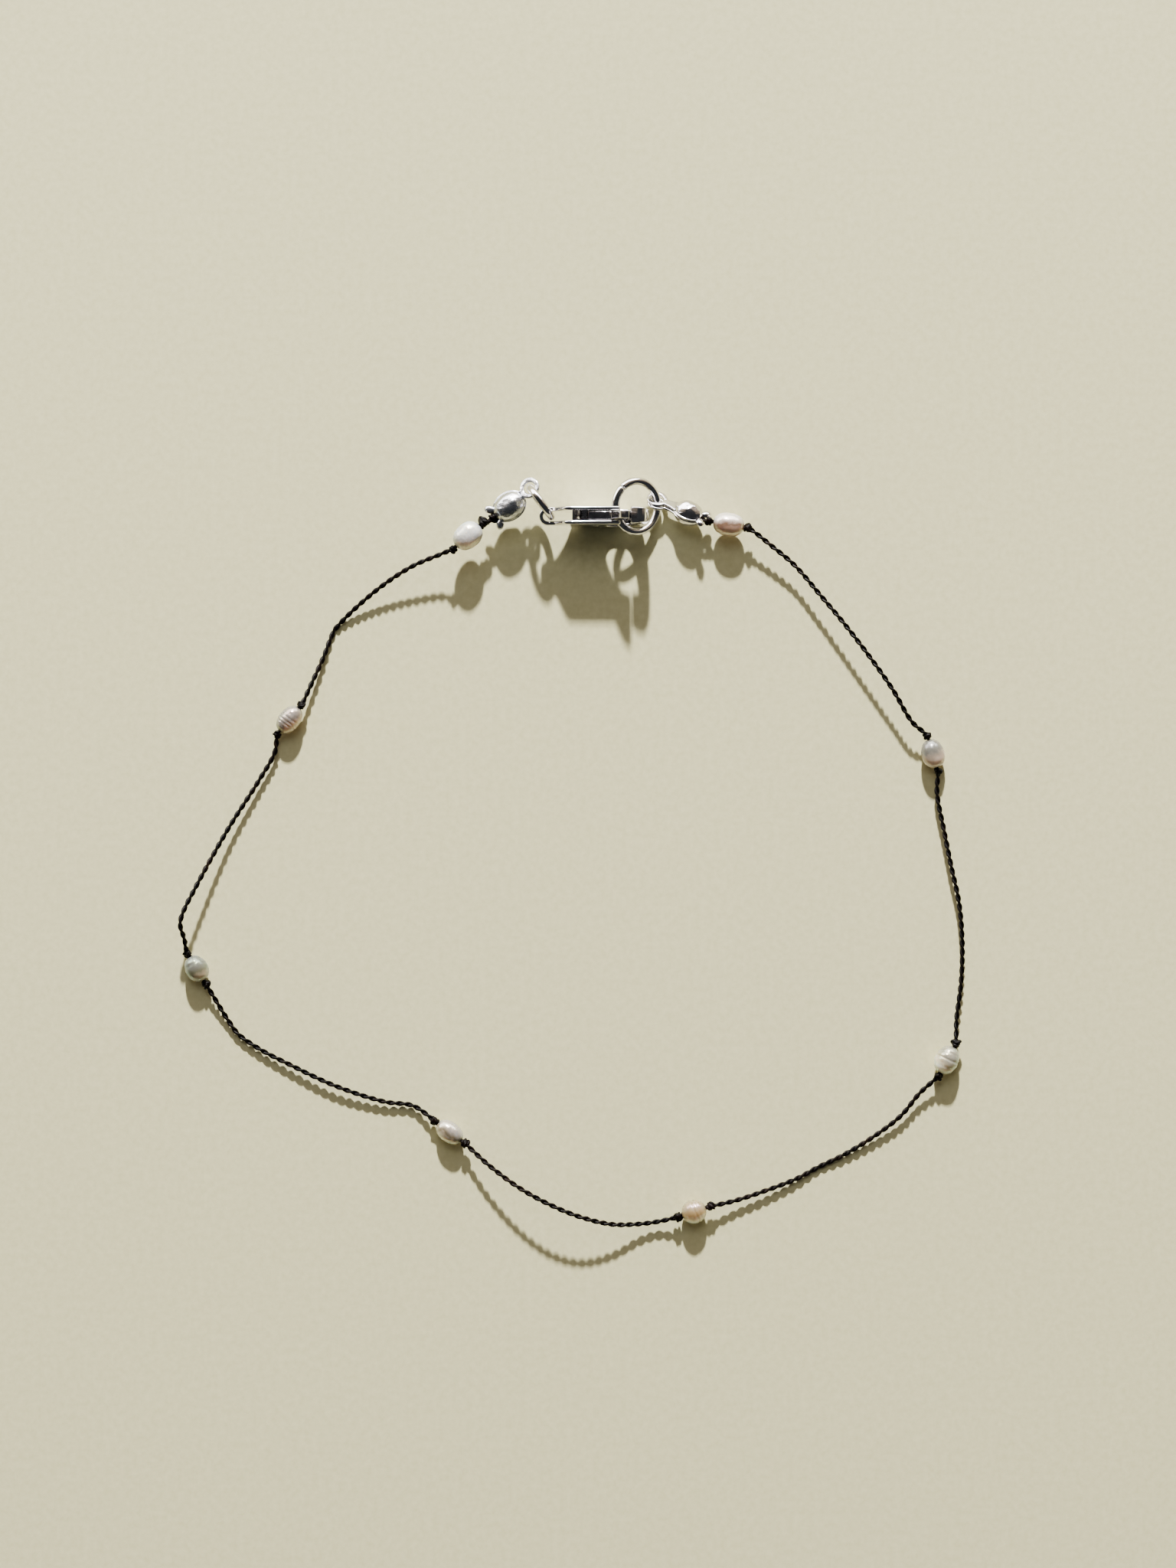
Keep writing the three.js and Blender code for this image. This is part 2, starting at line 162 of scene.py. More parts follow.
def ellipsoidShell(half, rows, cols, pole=0.02):
    # x = -a cos t, y = b sin t cos p, z = c sin t sin p, capped just short of its poles
    t, p = np.linspace(pole, math.pi - pole, rows)[:, None], roundAngles(cols)
    x, y, z = -np.cos(t) + 0 * p, np.sin(t) * np.cos(p), np.sin(t) * np.sin(p)
    return gridShell(np.stack([half[0] * x, half[1] * y, half[2] * z], -1))


def roundedOutline(corners, steps=6, limit=0.48):
    # each corner (u, v, cut) becomes the curve (1 - t)^2 A + 2 t (1 - t) P + t^2 B between points A and B
    # that lie a cut away from it, but never past nearly half way along a side
    corners = np.array(corners, float)
    p, cut = corners[:, :2], corners[:, 2:]
    before, after = np.roll(p, 1, 0) - p, np.roll(p, -1, 0) - p
    a = p + before * np.minimum(cut / np.linalg.norm(before, axis=1, keepdims=True), limit)
    b = p + after * np.minimum(cut / np.linalg.norm(after, axis=1, keepdims=True), limit)
    t = np.linspace(0, 1, steps)[None, :, None]
    curve = (1 - t) ** 2 * a[:, None] + 2 * t * (1 - t) * p[:, None] + t**2 * b[:, None]
    return curve.reshape(-1, 2)


def pointsInside(outline, spacing, clear=0.4):
    # a lattice of points inside the outline and clear of it: a point is inside when a level ray from it
    # crosses an odd number of edges, and its distance from an edge A B is |P - A - t (B - A)|, t in 0 to 1
    low, high = outline.min(0), outline.max(0)
    x, y = np.meshgrid(np.arange(low[0], high[0], spacing), np.arange(low[1], high[1], spacing))
    p = np.stack([x.ravel(), y.ravel()], -1)[:, None]
    a, edge = outline, np.roll(outline, -1, 0) - outline
    straddles = (a[:, 1] > p[..., 1]) != (a[:, 1] + edge[:, 1] > p[..., 1])
    crossing = a[:, 0] + (p[..., 1] - a[:, 1]) * edge[:, 0] / np.where(straddles, edge[:, 1], 1)
    inside = np.sum(straddles & (p[..., 0] < crossing), 1) % 2 == 1
    t = np.clip(np.sum((p - a) * edge, -1) / np.sum(edge**2, -1), 0, 1)
    distance = np.linalg.norm(p - a - t[..., None] * edge, axis=-1).min(1)
    return p[inside & (distance > spacing * clear), 0]


def plateShell(corners, low, high, edge, steps=5, band=1.15, spacing=0.7):
    # a plate between y = low and y = high, its corners in (x, z) and anticlockwise. Its rim is a quarter
    # round on both sides: the outline drawn in by edge (1 - sin a) at depth edge (1 - cos a) from the face.
    # Each face is a Delaunay net over the innermost row, a narrow band further in, and a lattice within.
    outline = roundedOutline(corners)
    flat = outline[np.linalg.norm(np.roll(outline, -1, 0) - outline, axis=1) > 1e-6]
    along = unit(np.roll(flat, -1, 0) - np.roll(flat, 1, 0))
    inward = np.stack([-along[:, 1], along[:, 0]], -1)
    a = np.linspace(0, math.pi / 2, steps)
    drawn, depth = edge * (1 - np.sin(a)), edge * (1 - np.cos(a))
    drawn = np.concatenate([[edge * band], drawn, drawn[::-1], [edge * band]])
    y = np.concatenate([[high], high - depth, (low + depth)[::-1], [low]])
    rim = flat + drawn[:, None, None] * inward
    shell = gridShell(np.stack([rim[..., 0], np.broadcast_to(y[:, None], rim.shape[:2]), rim[..., 1]], -1))
    within = pointsInside(rim[0], spacing)
    flatPoints = np.concatenate([rim[0], within])
    net = mathutils.geometry.delaunay_2d_cdt(flatPoints.tolist(), [], [list(range(len(flat)))], 1, 1e-6)
    faces = np.array(net[3])[:, 0][np.array(net[2])]
    corner = flatPoints[faces]
    b, c = corner[:, 1] - corner[:, 0], corner[:, 2] - corner[:, 0]
    faces = np.where(b[:, :1] * c[:, 1:] > b[:, 1:] * c[:, :1], faces, faces[:, ::-1])
    onRim, start = faces < len(flat), len(shell["points"]) - len(flat)
    highFace = np.where(onRim, faces, faces + start)
    lowFace = np.where(onRim, faces + start, faces + start + len(within))
    extra = np.stack([within[:, 0], 0 * within[:, 0], within[:, 1]], -1)
    shell["points"] = np.concatenate([shell["points"], extra + (0, high, 0), extra + (0, low, 0)])
    shell["caps"] = np.concatenate([highFace[:, ::-1], lowFace])
    return shell


def latheShell(profile, cols, joined):
    # a profile of (x, r) turned about the x axis: (x, r cos p, r sin p)
    p = roundAngles(cols)
    x, r = profile[:, :1], profile[:, 1:]
    return gridShell(np.stack([x + 0 * p, r * np.cos(p), r * np.sin(p)], -1), joined)


def linear(hexColour):
    # sRGB hex to linear: c / 12.92 up to 0.04045, else ((c + 0.055) / 1.055) ^ 2.4
    c = np.array([int(hexColour[i : i + 2], 16) / 255 for i in (1, 3, 5)])
    return (*np.where(c <= 0.04045, c / 12.92, ((c + 0.055) / 1.055) ** 2.4), 1.0)


def addNode(tree, kind, settings=None, links=None):
    # one node with its settings and links: stops are a colour ramp's (position, hex colour) pairs, other
    # lower case keys are properties, and the rest are sockets
    node = tree.nodes.new("ShaderNode" + kind)
    for key, value in (settings or {}).items():
        if key == "stops":
            elements = node.color_ramp.elements
            while len(elements) < len(value):
                elements.new(0.5)
            for element, (position, colour) in zip(elements, value):
                element.position, element.color = position, linear(colour)
        elif isinstance(key, str) and key[0].islower():
            setattr(node, key, value)
        else:
            node.inputs[key].default_value = value
    for key, source in (links or {}).items():
        tree.links.new(source, node.inputs[key])
    return node


def newMaterial(name):
    # a material whose node tree is empty
    material = bpy.data.materials.new(name)
    material.use_nodes = True
    material.node_tree.nodes.clear()
    return material, material.node_tree


def span(fromLow, fromHigh, toLow=0.0, toHigh=1.0):
    # toLow + (toHigh - toLow) (value - fromLow) / (fromHigh - fromLow), as a map range's settings
    return {"From Min": fromLow, "From Max": fromHigh, "To Min": toLow, "To Max": toHigh}


def polishedSilver(name, look):
    # Rhodium-bright sterling sheet and wire, stamped, tumbled and polished: a near mirror whose
    # reflections waver a little, with hairline scratches from wear and a faint darkening in patches.
    material, tree = newMaterial(name)
    coords = addNode(tree, "TexCoord").outputs["Object"]
    drawnOut = {"Scale": (look["hairStretch"], 1.0, 1.0), "Rotation": (0, 0, look["hairTurn"])}
    hairPlace = addNode(tree, "Mapping", drawnOut, {"Vector": coords}).outputs[0]
    noises = []
    for size, detail, roughness, where in (
        ("waverSize", 2.0, 0.5, coords), ("hairSize", 3.0, 0.7, hairPlace), ("patchSize", 4.0, 0.65, coords),
    ):
        noise = {"Scale": 1 / (look[size] * mm), "Detail": detail, "Roughness": roughness}
        noises.append(addNode(tree, "TexNoise", noise, {"Vector": where}).outputs["Fac"])
    waver, hairs, patches = noises
    stops = [(0.32, look["dark"]), (0.55, look["base"]), (0.75, look["bright"])]
    tone = addNode(tree, "ValToRGB", {"stops": stops}, {"Fac": patches})
    rough = addNode(tree, "MapRange", span(0.3, 0.75, *look["rough"]), {"Value": hairs})
    wavy = addNode(tree, "Bump", {"Strength": 1.0, "Distance": look["waver"] * mm}, {"Height": waver})
    worn = addNode(
        tree, "Bump", {"Strength": 0.25, "Distance": look["hairDepth"] * mm},
        {"Height": hairs, "Normal": wavy.outputs[0]},
    )
    shader = addNode(
        tree, "BsdfPrincipled", {"Metallic": 1.0},
        {"Base Color": tone.outputs[0], "Roughness": rough.outputs[0], "Normal": worn.outputs[0]},
    )
    addNode(tree, "OutputMaterial", links={"Surface": shader.outputs[0]})
    return material


def pearlNacre(name, look):
    # Freshwater nacre, thousands of thin aragonite layers over the mussel's graft: a soft deep lustre
    # with a broad highlight, a pink and cream overtone, faint growth rings round the drill axis and
    # a slightly see-through skin. Growth rings are really 0.02 mm apart and are drawn far coarser.
    # Its colour is partly painted light and shade: it changes with the side a point faces, from one tone
    # on the side towards the key light to a brighter tone on the shaded side away from it, a painted glow
    # of bounced and see-through light. Random clouds over it are the nacre's own tone.
    # pearlPlace is a point's place on its own pearl in millimetres, so the patterns' scales are per mm.
    material, tree = newMaterial(name)
    coords = addNode(tree, "Attribute", {"attribute_name": "pearlPlace"}).outputs["Vector"]
    # this attribute is painted light and shade: it runs from 0 on the side towards the key light to 1 on the
    # shaded side away from it
    shadeSide = addNode(tree, "Attribute", {"attribute_name": "pearlBlush"}).outputs["Fac"]
    noise = {"Scale": nacre["cloudScale"], "Detail": 3.0, "Roughness": 0.55, "Distortion": 0.6}
    cloud = addNode(tree, "TexNoise", noise, {"Vector": coords}).outputs["Fac"]
    patchy = addNode(tree, "Math", {"operation": "MULTIPLY_ADD", 1: 0.5, 2: -0.25}, {0: cloud}).outputs[0]
    tint = addNode(tree, "Math", {"operation": "ADD"}, {0: shadeSide, 1: patchy}).outputs[0]
    # painted light and shade, mixed with random clouds of real tone: the first tone is for the side towards
    # the key light, and the last, brighter one paints a glow of bounced and see-through light on the shaded
    # side
    stops = list(zip((0.3, 0.56, 0.82), look["tones"]))
    body = addNode(tree, "ValToRGB", {"stops": stops}, {"Fac": tint}).outputs[0]
    # a wave texture's bands are pi / 10 apart at scale 1
    bands = {"wave_type": "BANDS", "bands_direction": "X", "Scale": math.pi / 10 / nacre["ringSpacing"]}
    waver = {"Distortion": 3.5, "Detail": 2.0, "Detail Scale": 1.4}
    rings = addNode(tree, "TexWave", {**bands, **waver}, {"Vector": coords}).outputs["Fac"]
    noise = {"Scale": nacre["dimpleScale"], "Detail": 3.0, "Roughness": 0.5}
    dimples = addNode(tree, "TexNoise", noise, {"Vector": coords}).outputs["Fac"]
    spots = addNode(tree, "TexVoronoi", {"Scale": nacre["pitScale"]}, {"Vector": coords})
    pits = addNode(tree, "MapRange", span(0.0, nacre["pitShare"]), {"Value": spots.outputs["Distance"]})
    heights = [(dimples, 1.0, look["skin"]), (rings, 0.3, nacre["ringDepth"])]
    heights.append((pits.outputs[0], 0.25, nacre["pitDepth"]))
    normal = None
    for height, strength, depth in heights:
        links = {"Height": height, "Normal": normal} if normal else {"Height": height}
        normal = addNode(tree, "Bump", {"Strength": strength, "Distance": depth * mm}, links).outputs[0]
    roughSpan = span(0.3, 0.7, look["rough"], look["rough"] + nacre["roughSpread"])
    rough = addNode(tree, "MapRange", roughSpan, {"Value": dimples}).outputs[0]
    shader = addNode(
        tree, "BsdfPrincipled",
        {
            "IOR": 1.56, "Specular IOR Level": 0.15,
            "Subsurface Weight": 0.8, "Subsurface Radius": (1.0, 0.78, 0.6),
            "Subsurface Scale": look["depth"] * mm,
            "Coat Weight": 1.0, "Coat Roughness": look["lustre"], "Coat IOR": look["coatIor"],
            "Sheen Weight": 0.12, "Sheen Roughness": 0.4, "Sheen Tint": linear(look["overtone"]),
            "Thin Film Thickness": look["film"], "Thin Film IOR": 1.45,
        },
        {"Base Color": body, "Roughness": rough, "Normal": normal, "Coat Normal": normal},
    )
    addNode(tree, "OutputMaterial", links={"Surface": shader.outputs[0]})
    return material


def twistedSilk(name, look):
    # Dyed silk bead cord, two plies of filament twisted together: near black brown, a soft sheen on the
    # crown of each ply and redder where light catches the filaments. A filament is really 0.01 mm thick;
    # they are drawn as lines along the cord, about a twentieth of its way round apart.
    material, tree = newMaterial(name)
    coords = addNode(tree, "TexCoord").outputs
    strands = addNode(tree, "Mapping", {"Scale": look["strands"]}, {"Vector": coords["UV"]}).outputs[0]
    noise = {"Scale": 1.0, "Detail": 3.0, "Roughness": 0.6}
    filament = addNode(tree, "TexNoise", noise, {"Vector": strands}).outputs["Fac"]
    noise = {"Scale": 1 / (look["patchSize"] * mm), "Detail": 3.0}
    patches = addNode(tree, "TexNoise", noise, {"Vector": coords["Object"]}).outputs["Fac"]
    share = addNode(tree, "Math", {"operation": "MULTIPLY", 1: 0.55}, {0: patches}).outputs[0]
    tint = addNode(tree, "Math", {"operation": "MULTIPLY_ADD", 1: 0.5}, {0: filament, 2: share}).outputs[0]
    stops = [(0.4, look["dark"]), (0.55, look["base"]), (0.72, look["light"])]
    tone = addNode(tree, "ValToRGB", {"stops": stops}, {"Fac": tint})
    strandy = {"Strength": 0.6, "Distance": look["strandDepth"] * mm}
    bump = addNode(tree, "Bump", strandy, {"Height": filament})
    shader = addNode(
        tree, "BsdfPrincipled",
        {
            "Roughness": look["rough"], "Specular IOR Level": 0.06,
            "Sheen Weight": 0.01, "Sheen Roughness": 0.35, "Sheen Tint": linear(look["sheen"]),
        },
        {"Base Color": tone.outputs[0], "Normal": bump.outputs[0]},
    )
    addNode(tree, "OutputMaterial", links={"Surface": shader.outputs[0]})
    return material


def uncoatedPaper(name, look):
    # Uncoated pale paper: matt, with a very faint fibre grain.
    material, tree = newMaterial(name)
    coords = addNode(tree, "TexCoord").outputs["Object"]
    noise = {"Scale": 1 / (look["grainSize"] * mm), "Detail": 3.0, "Roughness": 0.6}
    grain = addNode(tree, "TexNoise", noise, {"Vector": coords}).outputs["Fac"]
    tone = addNode(tree, "ValToRGB", {"stops": [(0.3, look["dark"]), (0.7, look["light"])]}, {"Fac": grain})
    bump = addNode(tree, "Bump", {"Strength": 0.12, "Distance": look["grainDepth"] * mm}, {"Height": grain})
    shader = addNode(
        tree, "BsdfPrincipled", {"Roughness": 0.85, "Specular IOR Level": 0.2},
        {"Base Color": tone.outputs[0], "Normal": bump.outputs[0]},
    )
    addNode(tree, "OutputMaterial", links={"Surface": shader.outputs[0]})
    return material


studio = {
    "cameraAt": (1.6, 7.1, 430.0), "seenHeight": 163.84, "sensor": 36,
    "lightDistance": 1.2, "lightColour": (1.0, 0.985, 0.95), "floorHalf": 2.0,
    "paper": {"dark": "#cec99a", "light": "#dad5a8", "grainSize": 0.7, "grainDepth": 0.05},
    "sky": {"dim": 0.05, "dimColour": "#dfe4ea", "side": 0.7, "sideColour": "#ffe4c0"},
}
# size in metres, power in watts, degrees round from +Y and degrees up, and what the light shows in
studioLights = [
    {"name": "keyLight", "size": (0.045, 0.06), "power": 50, "heading": -1, "up": 30.5, "seen": "both"},
    {"name": "highLight", "size": (0.5, 0.5), "power": 3, "heading": -8, "up": 60, "seen": "diffuse"},
    {"name": "reflectorCard", "size": (3.6, 0.68), "power": 100, "heading": -12, "up": 17, "seen": "glossy"},
]


def makeCamera():
    # straight above: its focal length is sensor x distance / seen height
    lens = bpy.data.cameras.new("camera")
    lens.sensor_width = studio["sensor"]
    lens.lens = studio["sensor"] * studio["cameraAt"][2] / studio["seenHeight"]
    lens.clip_start, lens.clip_end = 0.02, 20
    camera = bpy.data.objects.new("camera", lens)
    camera.location = np.array(studio["cameraAt"]) * mm
    bpy.context.scene.collection.objects.link(camera)
    bpy.context.scene.camera = camera


def makeLight(row):
    # an area light that faces the middle from (sin h cos u, cos h cos u, sin u) times its distance
    rise, turn = math.radians(row["up"]), math.radians(row["heading"])
    light = bpy.data.lights.new(row["name"], "AREA")
    light.shape = "RECTANGLE"
    light.size, light.size_y = row["size"]
    light.energy = row["power"]
    light.color = studio["lightColour"]
    lamp = bpy.data.objects.new(row["name"], light)
    direction = np.array([math.sin(turn) * math.cos(rise), math.cos(turn) * math.cos(rise), math.sin(rise)])
    lamp.location = direction * studio["lightDistance"]
    lamp.rotation_euler = (rise - math.pi / 2, 0, -turn)
    lamp.visible_camera = False
    lamp.visible_diffuse, lamp.visible_glossy = row["seen"] != "glossy", row["seen"] != "diffuse"
    bpy.context.scene.collection.objects.link(lamp)


def makeSky(sky):
    # a dim sky all round and a warmer glow on the clasp's side that fades out overhead
    world = bpy.data.worlds.new("studioSky")
    world.use_nodes = True
    tree = world.node_tree
    tree.nodes.clear()
    coords = addNode(tree, "TexCoord").outputs["Generated"]
    axes = addNode(tree, "SeparateXYZ", links={"Vector": coords}).outputs
    smooth = {"interpolation_type": "SMOOTHSTEP"}
    side = addNode(tree, "MapRange", {**smooth, **span(0.0, 0.55, 0.0, sky["side"])}, {"Value": axes["Y"]})
    overhead = addNode(tree, "MapRange", {**smooth, **span(0.6, 0.85, 1.0, 0.0)}, {"Value": axes["Z"]})
    shade = addNode(tree, "Math", {"operation": "MULTIPLY"}, {0: side.outputs[0], 1: overhead.outputs[0]})
    glow = addNode(tree, "Background", {"Color": linear(sky["sideColour"])}, {"Strength": shade.outputs[0]})
    dim = addNode(tree, "Background", {"Color": linear(sky["dimColour"]), "Strength": sky["dim"]})
    both = addNode(tree, "AddShader", links={0: glow.outputs[0], 1: dim.outputs[0]})
    addNode(tree, "OutputWorld", links={"Surface": both.outputs[0]})
    bpy.context.scene.world = world


def makeFloor(half):
    # one square sheet of paper, level under the anklet
    mesh = bpy.data.meshes.new("floor")
    corners = [(-half, -half, 0), (half, -half, 0), (half, half, 0), (-half, half, 0)]
    mesh.from_pydata(corners, [], [(0, 1, 2, 3)])
    mesh.materials.append(uncoatedPaper("uncoatedPaper", studio["paper"]))
    floor = bpy.data.objects.new("floor", mesh)
    bpy.context.scene.collection.objects.link(floor)


makeCamera()
for row in studioLights:  # a small hard key low behind the clasp, a soft fill, and a card for gloss only
    makeLight(row)
makeSky(studio["sky"])
makeFloor(studio["floorHalf"])
print("studio ready")

# scales per mm, depths in mm
nacre = {
    "cloudScale": 0.9, "dimpleScale": 1.9, "pitScale": 3.2, "ringSpacing": 0.2375,
    "ringDepth": 0.004, "pitDepth": 0.01, "pitShare": 0.12, "roughSpread": 0.08,
}
pearlForm = {"rows": 90, "cols": 120, "drill": 0.64, "grooveWaver": 0.05, "trim": 0.03, "patternStep": 7.3}
# strung is the drill axis's heading and climb in degrees, grooves are (place along, depth, width) and lumps
# (x, y, z, height, spread), as shares of the half length and the radius
# each pearl's direction to its shaded side, away from the key light, and its three tones from the lit side to
# the shaded side paint light and shade on its colour
pearls = [
    {
        "at": (-10.88, 32.84, 3.1), "strung": (222, 2),
        "length": 3.26, "width": 2.77, "egg": 0.04, "square": 0.9,
        "grooves": [(0.3, 0.012, 0.1)],
        "lumps": [
            (0.3, 0.5, 0.8, 0.06, 0.42), (-0.5, -0.6, 0.6, 0.06, 0.4), (0.6, -0.5, 0.6, 0.05, 0.35),
            (-0.2, 0.1, 1.0, -0.04, 0.3), (-0.6, 0.5, 0.6, 0.06, 0.35), (0.05, -0.8, 0.5, -0.04, 0.3),
        ],
        "shadeSideTo": (0.1, -0.9, -0.2), "tones": ("#d8d8d6", "#a9a5a2", "#f4dccb"), "film": 330,
        "overtone": "#ffe9e4", "coatIor": 1.95, "lustre": 0.26, "rough": 0.22, "depth": 1.6, "skin": 0.08,
    },
    {
        "at": (-29.51, 13.82, 1.3), "strung": (230, -4),
        "length": 3.16, "width": 2.36, "egg": -0.03, "square": 0.88,
        "grooves": [
            (-0.42, 0.02, 0.09), (-0.12, 0.035, 0.07), (0.14, 0.045, 0.06),
            (0.36, 0.045, 0.06), (0.6, 0.02, 0.09),
        ],
        "lumps": [(-0.2, 0.3, 0.9, 0.04, 0.6)],
        "shadeSideTo": (0.6, -0.8, -0.1), "tones": ("#827f7b", "#7a6f65", "#d8b49c"), "film": 350,
        "overtone": "#ffe2da", "coatIor": 1.8, "lustre": 0.2, "rough": 0.2, "depth": 1.1, "skin": 0.03,
    },
    {
        "at": (-39.18, -12.12, 1.24), "strung": (-59, -6),
        "length": 2.88, "width": 2.45, "egg": -0.05, "square": 0.95,
        "grooves": [(-0.5, 0.04, 0.12)], "lumps": [(-0.6, 0.2, 0.8, 0.05, 0.4), (0.3, -0.5, 0.7, 0.03, 0.5)],
        "shadeSideTo": (0.3, -0.8, -0.2), "tones": ("#6a6a64", "#66644f", "#b8a68a"), "film": 300,
        "overtone": "#fff3e2", "coatIor": 1.6, "lustre": 0.24, "rough": 0.26, "depth": 1.1, "skin": 0.05,
    },
    {
        "at": (-12.82, -29.18, 1.16), "strung": (-36, 5),
        "length": 3.06, "width": 2.24, "egg": 0.02, "square": 0.9,
        "grooves": [(0.05, 0.02, 0.2)], "lumps": [(0.1, 0.5, 0.8, 0.04, 0.6), (-0.3, -0.6, 0.5, 0.03, 0.5)],
        "shadeSideTo": (-0.5, -0.8, -0.1), "tones": ("#9d9791", "#6d6149", "#f2e4cc"), "film": 330,
        "overtone": "#ffeae2", "coatIor": 2.1, "lustre": 0.24, "rough": 0.24, "depth": 1.8, "skin": 0.035,
    },
    {
        "at": (12.64, -37.46, 1.3), "strung": (18, 0),
        "length": 2.64, "width": 2.56, "egg": 0.0, "square": 0.98,
        "grooves": [(0.12, 0.045, 0.09), (0.42, 0.03, 0.08), (-0.55, 0.02, 0.1)],
        "lumps": [(-0.3, 0.5, 0.8, 0.05, 0.6)],
        "shadeSideTo": (0.2, -0.95, -0.1), "tones": ("#988b70", "#a48a5c", "#fff6dc"), "film": 370,
        "overtone": "#ffe6d0", "coatIor": 1.85, "lustre": 0.22, "rough": 0.18, "depth": 2.6, "skin": 0.04,
    },
    {
        "at": (38.98, -21.63, 1.3), "strung": (62, 0),
        "length": 3.04, "width": 2.56, "egg": 0.05, "square": 0.9,
        "grooves": [(0.55, 0.05, 0.1), (0.08, 0.055, 0.09), (-0.5, 0.04, 0.12)],
        "lumps": [(0.3, 0.2, 0.9, 0.05, 0.5), (-0.2, -0.4, 0.8, 0.05, 0.5)],
        "shadeSideTo": (-0.7, -0.7, -0.2), "tones": ("#8f8c80", "#bcb298", "#fff2d8"), "film": 320,
        "overtone": "#fff4e4", "coatIor": 1.75, "lustre": 0.22, "rough": 0.2, "depth": 1.4, "skin": 0.045,
    },
    {
        "at": (37.52, 10.28, 1.35), "strung": (107, 4),
        "length": 3.04, "width": 2.48, "egg": 0.06, "square": 0.86,
        "grooves": [(-0.7, 0.03, 0.12)], "lumps": [(0.5, 0.1, 0.9, 0.04, 0.4), (-0.4, 0.5, 0.6, 0.03, 0.5)],
        "shadeSideTo": (0.3, -0.8, -0.2), "tones": ("#6f6e67", "#b09d8b", "#d8c2b0"), "film": 0,
        "overtone": "#f6ecf4", "coatIor": 1.65, "lustre": 0.24, "rough": 0.23, "depth": 1.1, "skin": 0.03,
    },
    {
        "at": (16.23, 34.09, 1.97), "strung": (170, 1),
        "length": 3.26, "width": 2.56, "egg": 0.02, "square": 0.84,
        "grooves": [(0.0, 0.015, 0.2)], "lumps": [(0.4, 0.3, 0.8, 0.02, 0.6)],
        "shadeSideTo": (0.0, -0.95, 0.15), "tones": ("#dcd4cd", "#7c5e4a", "#c8a48c"), "film": 350,
        "overtone": "#ffe6da", "coatIor": 2.4, "lustre": 0.22, "rough": 0.2, "depth": 1.1, "skin": 0.02,
    },
]


def stringing(row):
    # the direction that a pearl is strung in: (cos h cos c, sin h cos c, sin c)
    turn, rise = np.radians(row["strung"])
    return np.array([math.cos(turn) * math.cos(rise), math.sin(turn) * math.cos(rise), math.sin(rise)])


def pearlShell(row):
    # x = -L/2 cos t and r = W/2 sin^k t (1 + egg cos t), joined through the drill hole at its two ends. r is
    # then times 1 - f sum of d exp(-((x - g) / w)^2) for its grooves and times 1 + f (sum of
    # h exp(-|direction - lump|^2 / s^2) - trim) for its lumps, with f = sin^2 t
    half, side, k = row["length"] / 2, row["width"] / 2, row["square"]
    start = math.asin((pearlForm["drill"] / 2 / side) ** (1 / k))
    t = np.linspace(start, math.pi - start, pearlForm["rows"])[:, None]
    p = roundAngles(pearlForm["cols"])[None]
    share, fade = -np.cos(t), np.sin(t) ** 2
    r = side * np.sin(t) ** k * (1 + row["egg"] * np.cos(t)) + 0 * p
    where, deep, wide = np.array(row["grooves"]).T[:, :, None, None]
    wavy = share + pearlForm["grooveWaver"] * np.cos(p)
    r = r * (1 - fade * np.sum(deep * np.exp(-(((wavy - where) / wide) ** 2)), 0))
    lump = np.array(row["lumps"])
    direction = np.stack([share + 0 * p, np.sin(t) * np.cos(p), np.sin(t) * np.sin(p)], -1)
    distance = np.sum((direction - unit(lump[:, :3])[:, None, None]) ** 2, -1)
    height, spread = lump.T[3:, :, None, None]
    r = r * (1 + fade * (np.sum(height * np.exp(-distance / spread**2), 0) - pearlForm["trim"]))
    return gridShell(np.stack([half * share + 0 * p, r * np.cos(p), r * np.sin(p)], -1), True)


for number, row in enumerate(pearls, 1):
    local = pearlShell(row)
    shell = moved(local, axesAt(row["at"], stringing(row)))
    # painted light and shade: this rises from 0 to 1 across the pearl towards its shaded side, away from the
    # key light
    shadeSide = 0.5 + 0.5 * (shell["points"] - row["at"]) @ unit(row["shadeSideTo"]) / (row["width"] / 2)
    attributes = {
        "pearlPlace": local["points"] + number * pearlForm["patternStep"],
        "pearlBlush": np.stack([shadeSide] * 3, -1),
    }
    material = pearlNacre(f"freshwaterNacre{number}", row)
    piece = buildPiece(f"pearl{number}", [shell], material, f"pearl_{number}", attributes=attributes)
print("pearls strung")

cord = {
    "plyRadius": 0.15, "plyOffset": 0.128, "pitch": 1.9, "step": 0.07, "sides": 28, "gap": 0.05,
    "dark": "#040303", "base": "#090505", "light": "#1c0f0a", "sheen": "#8f6a5c", "rough": 0.36,
    "strands": (1.2, 26.0, 1.0), "strandDepth": 0.012, "patchSize": 2.2,
}
knotForm = {
    "run": 0.72, "ply": 1.05, "steps": 64, "sides": 18, "twists": 1.5, "apart": 0.8, "oval": 0.08,
    "core": (0.44, 0.4, 0.4), "coreGrid": (12, 20),
}
# each pearl's knots: (width, length) before it and after it, how far the two turns lean, where they start
knotRows = [
    ((1.38, 1.1), (0.98, 0.8), 28, 20), ((0.98, 0.78), (0.95, 0.8), 28, 70),
    ((0.98, 0.78), (1.05, 0.85), 32, 130), ((1.0, 0.9), (1.1, 0.85), 26, 50),
    ((1.1, 0.85), (1.0, 0.9), 35, 100), ((1.0, 0.8), (1.15, 0.85), 30, 160),
    ((0.95, 0.85), (1.02, 0.8), 26, 10), ((1.1, 0.8), (1.0, 0.85), 30, 60),
]
# the same for the knot hidden in each bead tip and for the big one outside the left tip, a little aside
tipKnots = {
    "leftInside": ((1.3, 0.8), 28, 20), "leftOutside": ((1.15, 0.95), 35, 100), "aside": (-0.16, -0.1, 0),
    "rightInside": ((1.3, 0.8), 30, 60),
}
